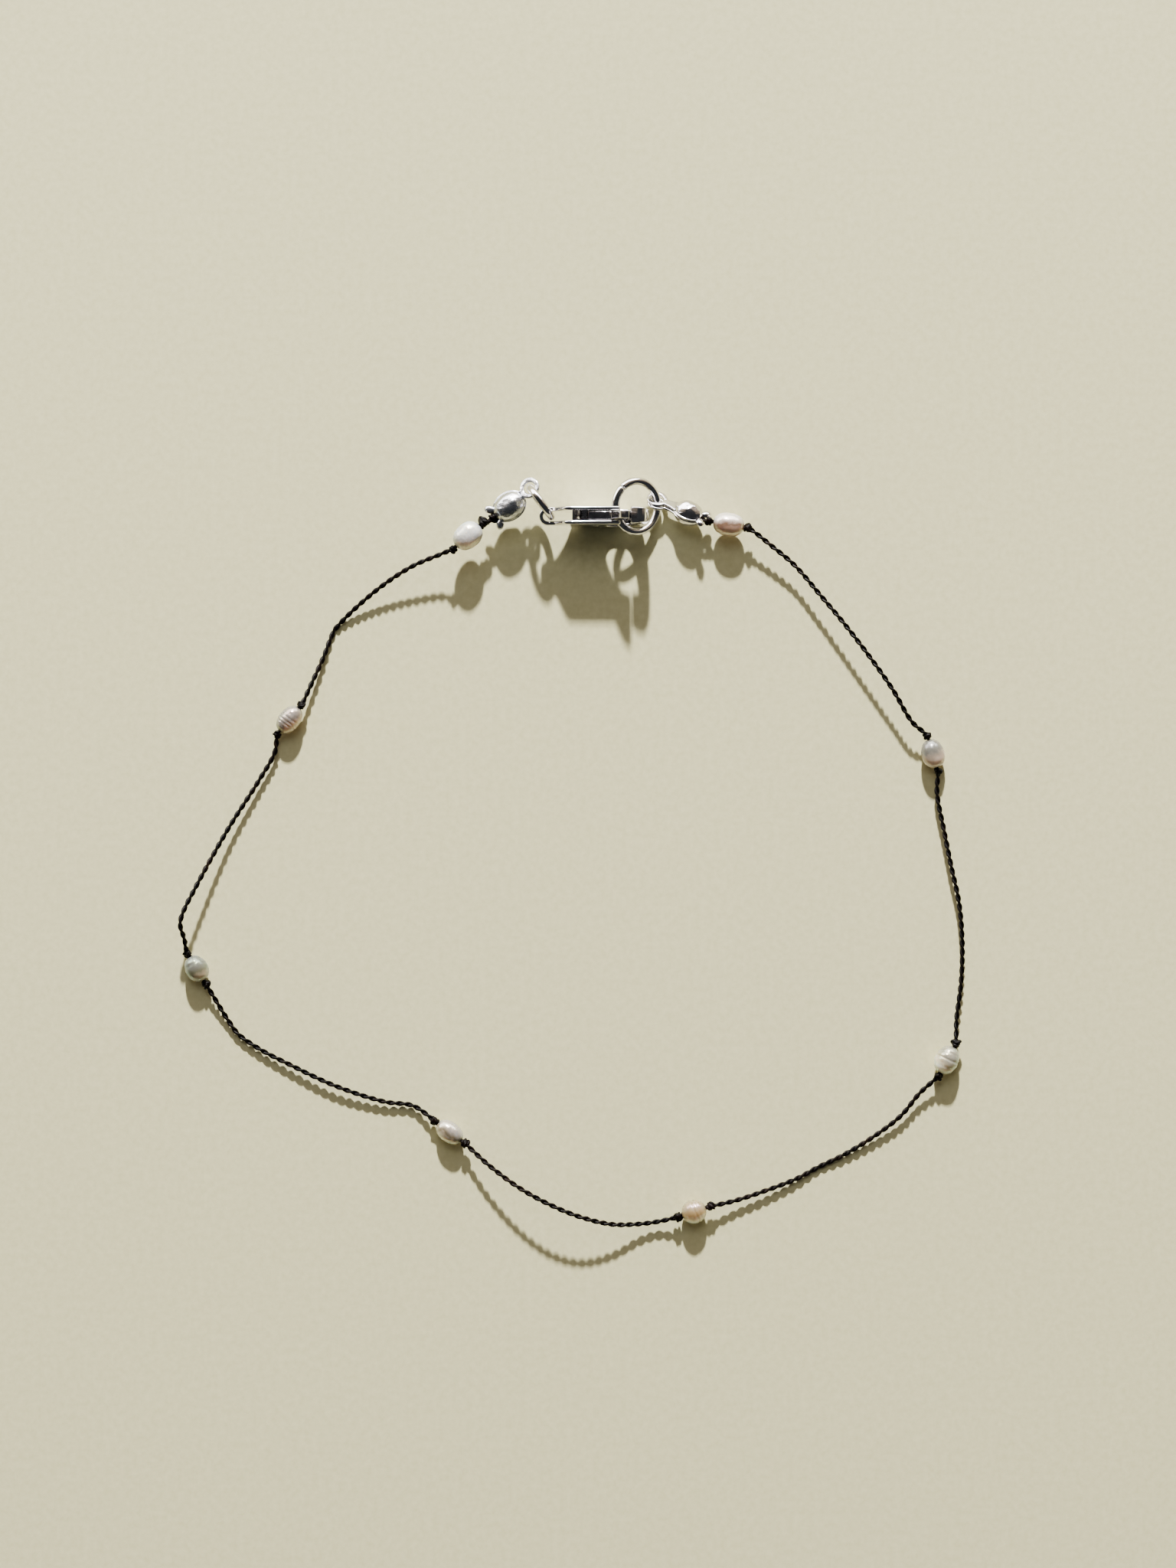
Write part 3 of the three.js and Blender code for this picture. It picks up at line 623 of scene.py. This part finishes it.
# the cord's route between the pearls, laid as in the part
cordRoutes = [
    [(-6.9, 35.68, 2.76), (-8.0, 34.88, 2.49), (-8.6, 34.48, 2.6)],
    [(-13.46, 31.05, 2.7), (-16.64, 29.74, 2.2), (-19.82, 27.74, 1.5), (-22.98, 25.13, 0.7),
     (-24.66, 23.45, 0.3), (-24.94, 23.08, 0.26), (-26.06, 20.18, 0.7), (-27.38, 17.19, 1.2)],
    [(-31.04, 10.46, 0.9), (-32.8, 7.32, 0.9), (-35.81, 2.55, 1.4), (-38.94, -3.22, 2.6),
     (-40.48, -6.44, 3.3), (-40.68, -7.48, 3.3), (-40.33, -8.98, 2.5)],
    [(-37.06, -15.74, 0.75), (-35.86, -17.71, 0.5), (-34.88, -19.02, 0.45), (-32.7, -20.55, 0.5),
     (-29.63, -22.13, 0.65), (-24.6, -24.45, 0.8), (-19.58, -26.06, 0.6), (-16.62, -26.5, 0.5)],
    [(-8.64, -32.6, 2.2), (-5.44, -34.88, 2.9), (-2.24, -36.59, 3.2), (0.96, -37.89, 2.9),
     (4.16, -38.7, 2.0), (7.04, -38.74, 1.1), (8.96, -38.52, 0.9)],
    [(16.96, -36.34, 0.9), (20.16, -35.31, 0.7), (23.36, -34.1, 0.45), (25.68, -32.88, 0.27),
     (28.16, -31.68, 0.4), (31.36, -29.72, 0.6), (34.24, -27.48, 0.85), (36.16, -25.14, 1.05)],
    [(40.02, -17.36, 1.0), (40.49, -13.69, 0.9), (40.62, -9.5, 1.0), (40.28, -5.31, 1.1),
     (39.5, -1.64, 1.1), (38.71, 2.29, 1.0), (37.98, 6.22, 1.05)],
    [(35.29, 13.58, 2.0), (33.26, 16.92, 2.4), (30.83, 20.37, 2.4), (28.19, 23.82, 2.2),
     (25.76, 26.75, 1.9), (23.13, 29.83, 1.7), (20.9, 31.72, 1.75)],
    [(13.8, 34.5, 2.18), (13.44, 34.65, 2.25), (12.4, 35.11, 1.99)],
]


def mixed(t, start, end, a, b):
    # a straight mix, a at start and b at end: a (1 - s) + b s with s = (t - start) / (end - start)
    s = ((t - start) / (end - start))[:, None]
    return a * (1 - s) + b * s


def smoothPath(points, step, perSpan=60):
    # centripetal Catmull-Rom: knots t spaced by the root of each gap, and in each span three rounds of
    # straight mixes between its four points; then even steps along the curve's length
    p = np.array(points, float)
    p = np.concatenate([[2 * p[0] - p[1]], p, [2 * p[-1] - p[-2]]])
    knots = np.append(0, np.cumsum(np.linalg.norm(np.diff(p, axis=0), axis=1) ** 0.5))
    spans = len(p) - 3
    k = np.repeat(np.arange(spans), perSpan)
    corner, when = [p[k + i] for i in range(4)], [knots[k + i] for i in range(4)]
    t = when[1] + np.tile(np.linspace(0, 1, perSpan, endpoint=False), spans) * (when[2] - when[1])
    a = [mixed(t, when[i], when[i + 1], corner[i], corner[i + 1]) for i in range(3)]
    b = [mixed(t, when[i], when[i + 2], a[i], a[i + 1]) for i in range(2)]
    curve = np.concatenate([mixed(t, when[1], when[2], *b), p[-2:-1]])
    length = runningLength(curve)
    even = np.linspace(0, length[-1], max(4, round(length[-1] / step)))
    return np.stack([np.interp(even, length, curve[:, i]) for i in range(3)], -1)


def twistedShell(path, turns, sides, sideways, scale=1.0, joined=False):
    # two plies side by side: the section reaches a |cos q| + sqrt(r^2 - a^2 sin^2 q) from its middle, q
    # being the angle round it less 2 pi times the turns that the plies have made by then
    q = roundAngles(sides) - 2 * math.pi * turns[:, None]
    a, r = cord["plyOffset"] * scale, cord["plyRadius"] * scale
    reach = a * np.abs(np.cos(q)) + np.sqrt(r**2 - (a * np.sin(q)) ** 2)
    return tubeShell(path, reach, sides, sideways, joined)


def knotShells(centre, along, size, lean, start, side=1):
    # an overhand knot drawn tight: two rings of cord round its own run, at x = +-apart and leaning opposite
    # ways, (x + R sin(lean) cos(w - start), R cos w (1 + oval cos 2w), R sin w), and a core that fills them
    axes = axesAt(centre, along)
    scale = knotForm["ply"]
    outer = (cord["plyOffset"] + cord["plyRadius"]) * scale
    width, length = size
    radius, apart = width / 2 - outer, (length / 2 - outer) * knotForm["apart"]
    w = roundAngles(knotForm["steps"])
    shells = []
    for end in (-1, 1):
        tilt = radius * math.sin(end * side * math.radians(lean)) * np.cos(w - math.radians(start))
        oval = 1 + knotForm["oval"] * end * np.cos(2 * w)
        ring = [end * apart + tilt, radius * np.cos(w) * oval, radius * np.sin(w)]
        path = place(np.stack(ring, -1), axes)
        gone = runningLength(path)
        turns = knotForm["twists"] * gone / (gone[-1] + np.linalg.norm(path[0] - path[-1]))
        shells.append(twistedShell(path, turns, knotForm["sides"], axes[1], scale, True))
    core = ellipsoidShell(np.array([length, width, width]) * knotForm["core"], *knotForm["coreGrid"])
    return shells + [moved(core, axes)]


def pearlEnd(number, side):
    # the cord's run at one end of a pearl, from inside the drill hole out to the knot, and the knot, whose
    # middle is half its length outside the hole's mouth
    row, (before, after, lean, start) = pearls[number], knotRows[number]
    size = after if side > 0 else before
    along, mouth = stringing(row) * side, row["length"] / 2
    reach = np.array([cord["gap"], mouth, mouth + cord["gap"] + knotForm["run"] / 2])
    knotAt = row["at"] + along * (mouth + cord["gap"] / 2 + size[1] / 2)
    return row["at"] + reach[:, None] * along, (knotAt, along, size, lean, start, side)


silk = twistedSilk("twoPlySilkCord", cord)
for number, route in enumerate(cordRoutes):
    points, knots = np.array(route), []
    if number > 0:
        run, tied = pearlEnd(number - 1, 1)
        points, knots = np.concatenate([run, points]), knots + [tied]
    if number < len(pearls):
        run, tied = pearlEnd(number, -1)
        points, knots = np.concatenate([points, run[::-1]]), knots + [tied]
    if number == 0:
        knots.append((points[0], points[1] - points[0], *tipKnots["leftInside"]))
        knots.append((points[1] + tipKnots["aside"], points[2] - points[1], *tipKnots["leftOutside"]))
    if number == len(pearls):
        knots.append((points[-1], points[-1] - points[-2], *tipKnots["rightInside"]))
    path = smoothPath(points, cord["step"])
    shells = [twistedShell(path, runningLength(path) / cord["pitch"], cord["sides"], (0, 0, 1))]
    for tied in knots:
        shells += knotShells(*tied)
    piece = buildPiece(f"cordSpan{number + 1}", shells, silk, f"cord_{number + 1}")
print("cord laid")

silverLook = {
    "dark": "#b9b6ba", "base": "#dcdadb", "bright": "#f0eff0", "rough": (0.05, 0.16),
    "waver": 0.007, "waverSize": 0.9, "patchSize": 1.6,
    "hairSize": 0.05, "hairStretch": 0.08, "hairTurn": 0.5, "hairDepth": 0.002,
}
# the bead tips are duller and more wavy, and the lever a little darker
leftLook = {**silverLook, "dark": "#a9abb2", "base": "#cdcfd5", "rough": (0.22, 0.34), "waver": 0.12}
rightLook = {**silverLook, "base": "#d2d0d3", "rough": (0.08, 0.2), "waver": 0.08}
leverLook = {**silverLook, "dark": "#9c979d", "base": "#c4c1c5", "rough": (0.08, 0.2)}
silver = polishedSilver("polishedSilver", silverLook)

# the small ring stands upright along smallAcross, and the large one slopes by largeTilt, square to largeLean
smallAcross = unit([0.593, -0.805, 0])
largeTilt, largeLean = math.radians(33), unit([0.13, 0.99, 0])
downhill = np.array([largeLean[1], -largeLean[0], 0]) * math.cos(largeTilt) - (0, 0, math.sin(largeTilt))
ringForm = {"steps": 160, "sides": 28, "split": 2, "taper": 0.12, "taperLength": 0.05}
# outside and wire in mm, and the split's place round from along in degrees
jumpRings = [
    {
        "name": "jumpRingSmall", "node": "jump_ring_small", "outer": 4.5, "wire": 0.76, "splitAt": 180,
        "at": (-3.31, 36.26, 3.8), "along": (0, 0, 1), "up": np.cross(smallAcross, (0, 0, 1)),
    },
    {
        "name": "jumpRingLarge", "node": "jump_ring_large", "outer": 6.06, "wire": 0.82, "splitAt": 142,
        "at": (6.64, 35.96, 2.35), "along": downhill, "up": np.cross(downhill, largeLean),
    },
]


def ringShell(ring):
    # a wire of radius r bent round radius R, its cut ends a hair apart and rounded off: at a distance d
    # from a cut end the wire is r (1 - taper exp(-(d / taperLength)^2))
    radius, wire, steps = (ring["outer"] - ring["wire"]) / 2, ring["wire"] / 2, ringForm["steps"]
    gap = math.radians(ringForm["split"]) / 2
    w = np.linspace(gap, 2 * math.pi - gap, steps) + math.radians(ring["splitAt"])
    fromEnd = np.minimum(np.arange(steps), np.arange(steps)[::-1]) * radius * (2 * math.pi / steps)
    thick = wire * (1 - ringForm["taper"] * np.exp(-((fromEnd / ringForm["taperLength"]) ** 2)))
    axes = axesAt(ring["at"], ring["along"], ring["up"])
    path = place(np.stack([radius * np.cos(w), radius * np.sin(w), 0 * w], -1), axes)
    return tubeShell(path, thick[:, None], ringForm["sides"], axes[3])


for ring in jumpRings:
    piece = buildPiece(ring["name"], [ringShell(ring)], silver, ring["node"])
print("jump rings closed")

clamshell = {
    "wall": 0.25, "seam": 0.12, "lip": 0.1, "lipHeight": 0.14, "hole": 0.36, "endClosed": 0.25,
    "cupRows": 44, "cupArc": 36, "sheet": 0.28,
}
eyeletForm = {"outer": 2.2, "inner": 1.3, "edge": 0.125, "edgeSteps": 6, "sides": 64}
strapForm = {
    "steps": 14, "sides": 28, "power": 0.35, "half": 0.42, "flare": 0.42, "inCup": 0.35, "inRim": 0.15,
}
earForm = {
    "half": (0.6, 0.42, 0.32), "grid": (16, 24), "splay": 0.8, "droop": 0.12,
    "back": 1.03, "aside": 0.33, "up": 0.1,
}
# dents are (x, y, height, spread) as shares of the cup; eyelets are (along, across, up) and a roll in degrees
clamshells = [
    {
        "name": "clamshellLeft", "node": "clamshell_left",
        "metal": "polishedSilverLeftTip", "look": leftLook, "length": 3.68, "width": 2.8,
        "at": (-6.54, 35.94, 2.85), "along": (0.8, 0.58, 0.2), "up": (0, 0, 1),
        "dents": [
            (0.1, 0.45, -0.05, 0.2), (0.45, 0.1, 0.045, 0.16), (-0.3, -0.2, 0.035, 0.22),
            (-0.35, 0.4, -0.04, 0.18), (0.6, -0.4, -0.04, 0.22), (0.05, -0.05, 0.03, 0.15),
        ],
        "eyelets": [((2.86, 0.24, 0.29), 26), ((2.84, 0.28, -0.11), 18)],
    },
    {
        "name": "clamshellRight", "node": "clamshell_right",
        "metal": "polishedSilverRightTip", "look": rightLook, "length": 3.2, "width": 2.6,
        "at": (12.04, 35.27, 1.9), "along": (-0.89, 0.39, -0.23), "up": (0.18, 0.76, 0.62),
        "dents": [
            (0.2, 0.3, -0.06, 0.2), (-0.3, 0.1, 0.05, 0.18), (0.4, -0.3, 0.045, 0.2),
            (-0.1, -0.5, -0.05, 0.22), (0.0, 0.7, 0.04, 0.15),
        ],
        "eyelets": [((3.5, 0.11, -0.3), 0), ((3.68, -0.09, 0.08), 8)],
    },
]


def cupShell(tip, side):
    # half of an egg shell: at x = -a cos t its section is an outer arc of radius R = b sin t, a lip that
    # stands out along the seam, and an inner arc one wall smaller. Each dent swells the outer arc by
    # sin(angle) height exp(-distance^2 / spread^2), and no part of it is lower than the lip.
    half, width, wall = tip["length"] / 2, tip["width"] / 2, clamshell["wall"]
    start = math.asin(clamshell["hole"] / (width - wall))
    t = np.linspace(start, math.pi - clamshell["endClosed"], clamshell["cupRows"])[:, None]
    a = np.linspace(0, math.pi, clamshell["cupArc"])[None]
    outer, inner, lip = width * np.sin(t), (width - wall) * np.sin(t), clamshell["lip"]
    low = clamshell["seam"] / 2
    high = low + clamshell["lipHeight"]
    x, y, swell, spread = np.array(tip["dents"]).T[:, :, None, None]
    distance = (-np.cos(t) - x) ** 2 + (np.cos(a) * np.sin(t) - y) ** 2
    worn = 1 + np.sin(a) * np.sum(swell * np.exp(-distance / spread**2), 0)
    height = outer * np.sin(a)
    lipY = np.sign(np.cos(a)) * (outer + lip * (1 - height / high))
    outerY = np.where(height < high, lipY, outer * np.cos(a) * worn)
    outerZ = np.maximum(height * worn, high)
    innerY, innerZ = -inner * np.cos(a), np.maximum(inner * np.sin(a), low)
    edgeY, edgeZ = np.concatenate([-(outer + lip), -inner], 1), np.full((len(t), 2), low)
    y = np.concatenate([outerY, edgeY, innerY, -edgeY[:, ::-1]], 1)
    z = np.concatenate([outerZ, edgeZ, innerZ, edgeZ], 1) * side
    return gridShell(np.stack([np.broadcast_to(-half * np.cos(t), y.shape), y, z], -1))


def eyeletShell(centre, roll):
    # a flat washer, a rectangle with round corners turned about its upright axis, then rolled about the
    # strap: (y, z) becomes (y cos r + z sin r, z cos r - y sin r)
    edge = eyeletForm["edge"]
    face = clamshell["sheet"] / 2 - edge
    low, high = eyeletForm["inner"] / 2 + edge, eyeletForm["outer"] / 2 - edge
    a = np.linspace(0, math.pi / 2, eyeletForm["edgeSteps"])
    rise, reach = edge * np.sin(a), edge * np.cos(a)
    x = np.concatenate([face + rise, face + reach, -face - rise, -face - reach])
    r = np.concatenate([low - reach, high + rise, high + reach, low - rise])
    shell = latheShell(np.stack([x, r], -1), eyeletForm["sides"], True)
    x, y, z = shell["points"][:, [1, 2, 0]].T
    c, s = math.cos(math.radians(roll)), math.sin(math.radians(roll))
    shell["points"] = np.stack([x, y * c + z * s, z * c - y * s], -1) + centre
    return shell


def strapShell(tip, centre, roll):
    # a flat bar from the cup's end to the eyelet's rim, its section squarish, its half width half + flare
    # (1 - s)^2, turning about its own run to the eyelet's roll as s^2
    along, across, up = centre
    near = tip["length"] / 2 - strapForm["inCup"]
    far = along - eyeletForm["inner"] / 2 - strapForm["inRim"]
    leaves = math.copysign((clamshell["seam"] + clamshell["sheet"]) / 2, up)
    s = np.linspace(0, 1, strapForm["steps"])
    path = np.stack([near + (far - near) * s, across * s, leaves + (up - leaves) * s], -1)
    a, half = roundAngles(strapForm["sides"]), strapForm["half"] + strapForm["flare"] * (1 - s) ** 2
    wide = half[:, None] * squarish(np.cos(a), strapForm["power"])
    thick = clamshell["sheet"] / 2 * squarish(np.sin(a), strapForm["power"])
    turn = (math.radians(roll) * s**2)[:, None]
    y = wide * np.cos(turn) + thick * np.sin(turn)
    z = thick * np.cos(turn) - wide * np.sin(turn)
    return gridShell(path[:, None] + np.stack([0 * y, y, z], -1))


def earShell(tip, side):
    # one folded tab of the hinge, a flattened lobe that splays out beside the cord and droops by x^2
    lobe = ellipsoidShell(earForm["half"], *earForm["grid"])
    x, y, z = lobe["points"].T
    c, s = math.cos(side * earForm["splay"]), math.sin(side * earForm["splay"])
    z = z - earForm["droop"] * x**2
    centre = (-tip["length"] / 2 * earForm["back"], side * tip["width"] * earForm["aside"], earForm["up"])
    lobe["points"] = np.stack([x * c + y * s, y * c - x * s, z], -1) + centre
    return lobe


for tip in clamshells:
    shells = [cupShell(tip, 1), cupShell(tip, -1), earShell(tip, 1), earShell(tip, -1)]
    shells += [strapShell(tip, *eyelet) for eyelet in tip["eyelets"]]
    shells += [eyeletShell(*eyelet) for eyelet in tip["eyelets"]]
    axes = axesAt(tip["at"], tip["along"], tip["up"])
    metal = polishedSilver(tip["metal"], tip["look"])
    piece = buildPiece(tip["name"], [moved(shell, axes) for shell in shells], metal, tip["node"])
print("clamshells closed")

clasp = {
    "tailAt": (-3.44, 34.8, 0.0), "thickness": 1.86, "channel": 1.06, "edge": 0.14,
    "coreEdge": 0.01, "coreInCheek": 0.2, "webEdge": 0.02, "webInCheek": 0.1,
    "lever": 0.9, "leverEdge": 0.1, "tabFrom": 6.1, "tabWidth": 0.91,
    "pivot": (5.8, 2.95), "pin": 0.76, "pinDome": 0.07, "pinSides": 32, "pinSteps": 10,
}
# where the nose starts to narrow, over what length, and by what share at its end
noseTapers = [(8.2, 2.7, 0.2), (10.8, 0.55, 0.25)]
tailForm = {
    "past": 0.1, "steps": 40, "sides": 32, "tall": 0.645, "middle": 3.785, "widePower": 0.4, "tallPower": 0.2,
}
# side view, u from the tail loop to the nose, v up, and how far back each corner is rounded
noseCorners = [
    (8.6, 0.0, 0.6), (9.6, 0.25, 0.6), (10.4, 0.9, 0.6), (10.95, 1.9, 0.6), (11.25, 3.4, 0.8),
    (11.35, 5.2, 0.8), (11.2, 6.2, 0.5), (10.9, 6.75, 0.4), (10.4, 6.95, 0.4),
]
cheekCorners = [
    (0.9, 3.14, 0.28), (1.5, 3.12, 0.5), (2.6, 2.1, 0.5), (3.5, 0.7, 0.4), (4.1, 0.15, 0.4), (4.6, 0.0, 0.4),
    *noseCorners, (9.42, 6.5, 0.3), (9.42, 5.1, 0.32), (10.1, 5.2, 0.3), (10.15, 4.3, 0.5), (9.75, 2.3, 0.7),
    (9.2, 1.45, 0.5), (7.4, 1.4, 0.5), (6.8, 1.9, 0.4), (6.75, 2.7, 0.4), (6.95, 3.4, 0.4), (7.5, 4.2, 0.4),
    (8.2, 4.7, 0.35), (8.4, 5.1, 0.25), (8.4, 6.1, 0.4), (2.9, 6.1, 0.5), (2.5, 5.75, 0.4), (1.7, 4.6, 0.4),
    (1.45, 4.45, 0.3), (0.9, 4.43, 0.28),
]
# the spine and the solid nose between the cheeks, and the wall behind the lever
coreCorners = [
    (3.6, 0.62, 0.1), (4.1, 0.15, 0.3), (4.6, 0.0, 0.4), *noseCorners, (9.42, 6.5, 0.15), (9.42, 5.1, 0.12),
    (10.1, 5.2, 0.25), (10.15, 4.3, 0.5), (9.75, 2.3, 0.6), (9.3, 0.9, 0.4), (8.8, 0.42, 0.4),
    (4.3, 0.42, 0.2), (3.6, 0.8, 0.1),
]
webCorners = [(3.4, 0.95, 0.15), (3.74, 0.6, 0.2), (3.74, 6.0, 0.15), (3.4, 6.0, 0.15)]
leverCorners = [
    (5.0, 5.95, 0.2), (4.9, 5.1, 0.4), (4.95, 3.4, 0.4), (5.1, 2.5, 0.4), (5.5, 2.2, 0.4), (6.1, 2.2, 0.4),
    (6.5, 2.5, 0.4), (6.75, 3.3, 0.4), (7.35, 4.2, 0.4), (8.05, 4.68, 0.5), (9.3, 5.05, 0.15),
    (9.34, 6.4, 0.6), (9.3, 7.6, 0.3), (9.27, 8.0, 0.3), (8.85, 7.96, 0.3), (8.3, 7.5, 0.35),
    (7.85, 6.75, 0.35), (7.4, 6.1, 0.3), (7.1, 5.98, 0.3),
]


def nosed(shell):
    # narrows the clasp towards its nose: y times 1 - sum of share s^2, each s rising from 0 to 1 along u
    start, length, share = np.array(noseTapers).T[:, :, None]
    s = np.clip((shell["points"][:, 0] - start) / length, 0, 1)
    shell["points"][:, 1] *= 1 - np.sum(share * s**2, 0)
    return shell


def tailBend():
    # the sheet carried round the tail loop: a squarish upright section carried along half a circle
    past = math.pi / 2 + tailForm["past"]
    w = np.linspace(-past, past, tailForm["steps"])[:, None]
    a = roundAngles(tailForm["sides"])
    middle = (clasp["thickness"] + clasp["channel"]) / 4
    reach = middle + (clasp["thickness"] - clasp["channel"]) / 4 * squarish(np.cos(a), tailForm["widePower"])
    tall = tailForm["middle"] + tailForm["tall"] * squarish(np.sin(a), tailForm["tallPower"])
    x, y = clasp["thickness"] / 2 - reach * np.cos(w), reach * np.sin(w)
    return gridShell(np.stack([x, y, np.broadcast_to(tall, x.shape)], -1))


def pinShell():
    # the rivet: a rod whose ends swell into low domes, x = h + d cos a and r = radius sin a, turned to lie
    # across the clasp at its pivot
    a = np.linspace(0.05, math.pi / 2, clasp["pinSteps"])
    x, r = clasp["thickness"] / 2 + clasp["pinDome"] * np.cos(a), clasp["pin"] / 2 * np.sin(a)
    profile = np.concatenate([np.stack([-x, r], -1), np.stack([x, r], -1)[::-1]])
    shell = latheShell(profile, clasp["pinSides"], False)
    shell["points"] = shell["points"][:, [1, 0, 2]] + (clasp["pivot"][0], 0, clasp["pivot"][1])
    return shell


claspAxes = axesAt(clasp["tailAt"], (1, 0, 0))
outerFace, innerFace = clasp["thickness"] / 2, clasp["channel"] / 2
coreFace, webFace = innerFace + clasp["coreInCheek"], innerFace + clasp["webInCheek"]
bodyShells = [
    plateShell(cheekCorners, innerFace, outerFace, clasp["edge"]),
    plateShell(cheekCorners, -outerFace, -innerFace, clasp["edge"]),
    plateShell(coreCorners, -coreFace, coreFace, clasp["coreEdge"]),
    plateShell(webCorners, -webFace, webFace, clasp["webEdge"]),
    tailBend(),
]
bodyShells = [moved(nosed(shell), claspAxes) for shell in bodyShells]
piece = buildPiece("claspBody", bodyShells, silver, "clasp_body")

lever = plateShell(leverCorners, -clasp["lever"] / 2, clasp["lever"] / 2, clasp["leverEdge"])
lever["points"][:, 1] *= np.where(lever["points"][:, 2] > clasp["tabFrom"], clasp["tabWidth"], 1.0)
leverSilver = polishedSilver("polishedSilverLever", leverLook)
piece = buildPiece("claspLever", [moved(lever, claspAxes)], leverSilver, "clasp_lever", "lever")

piece = buildPiece("claspPin", [moved(pinShell(), claspAxes)], silver, "clasp_pin")
print("clasp assembled")
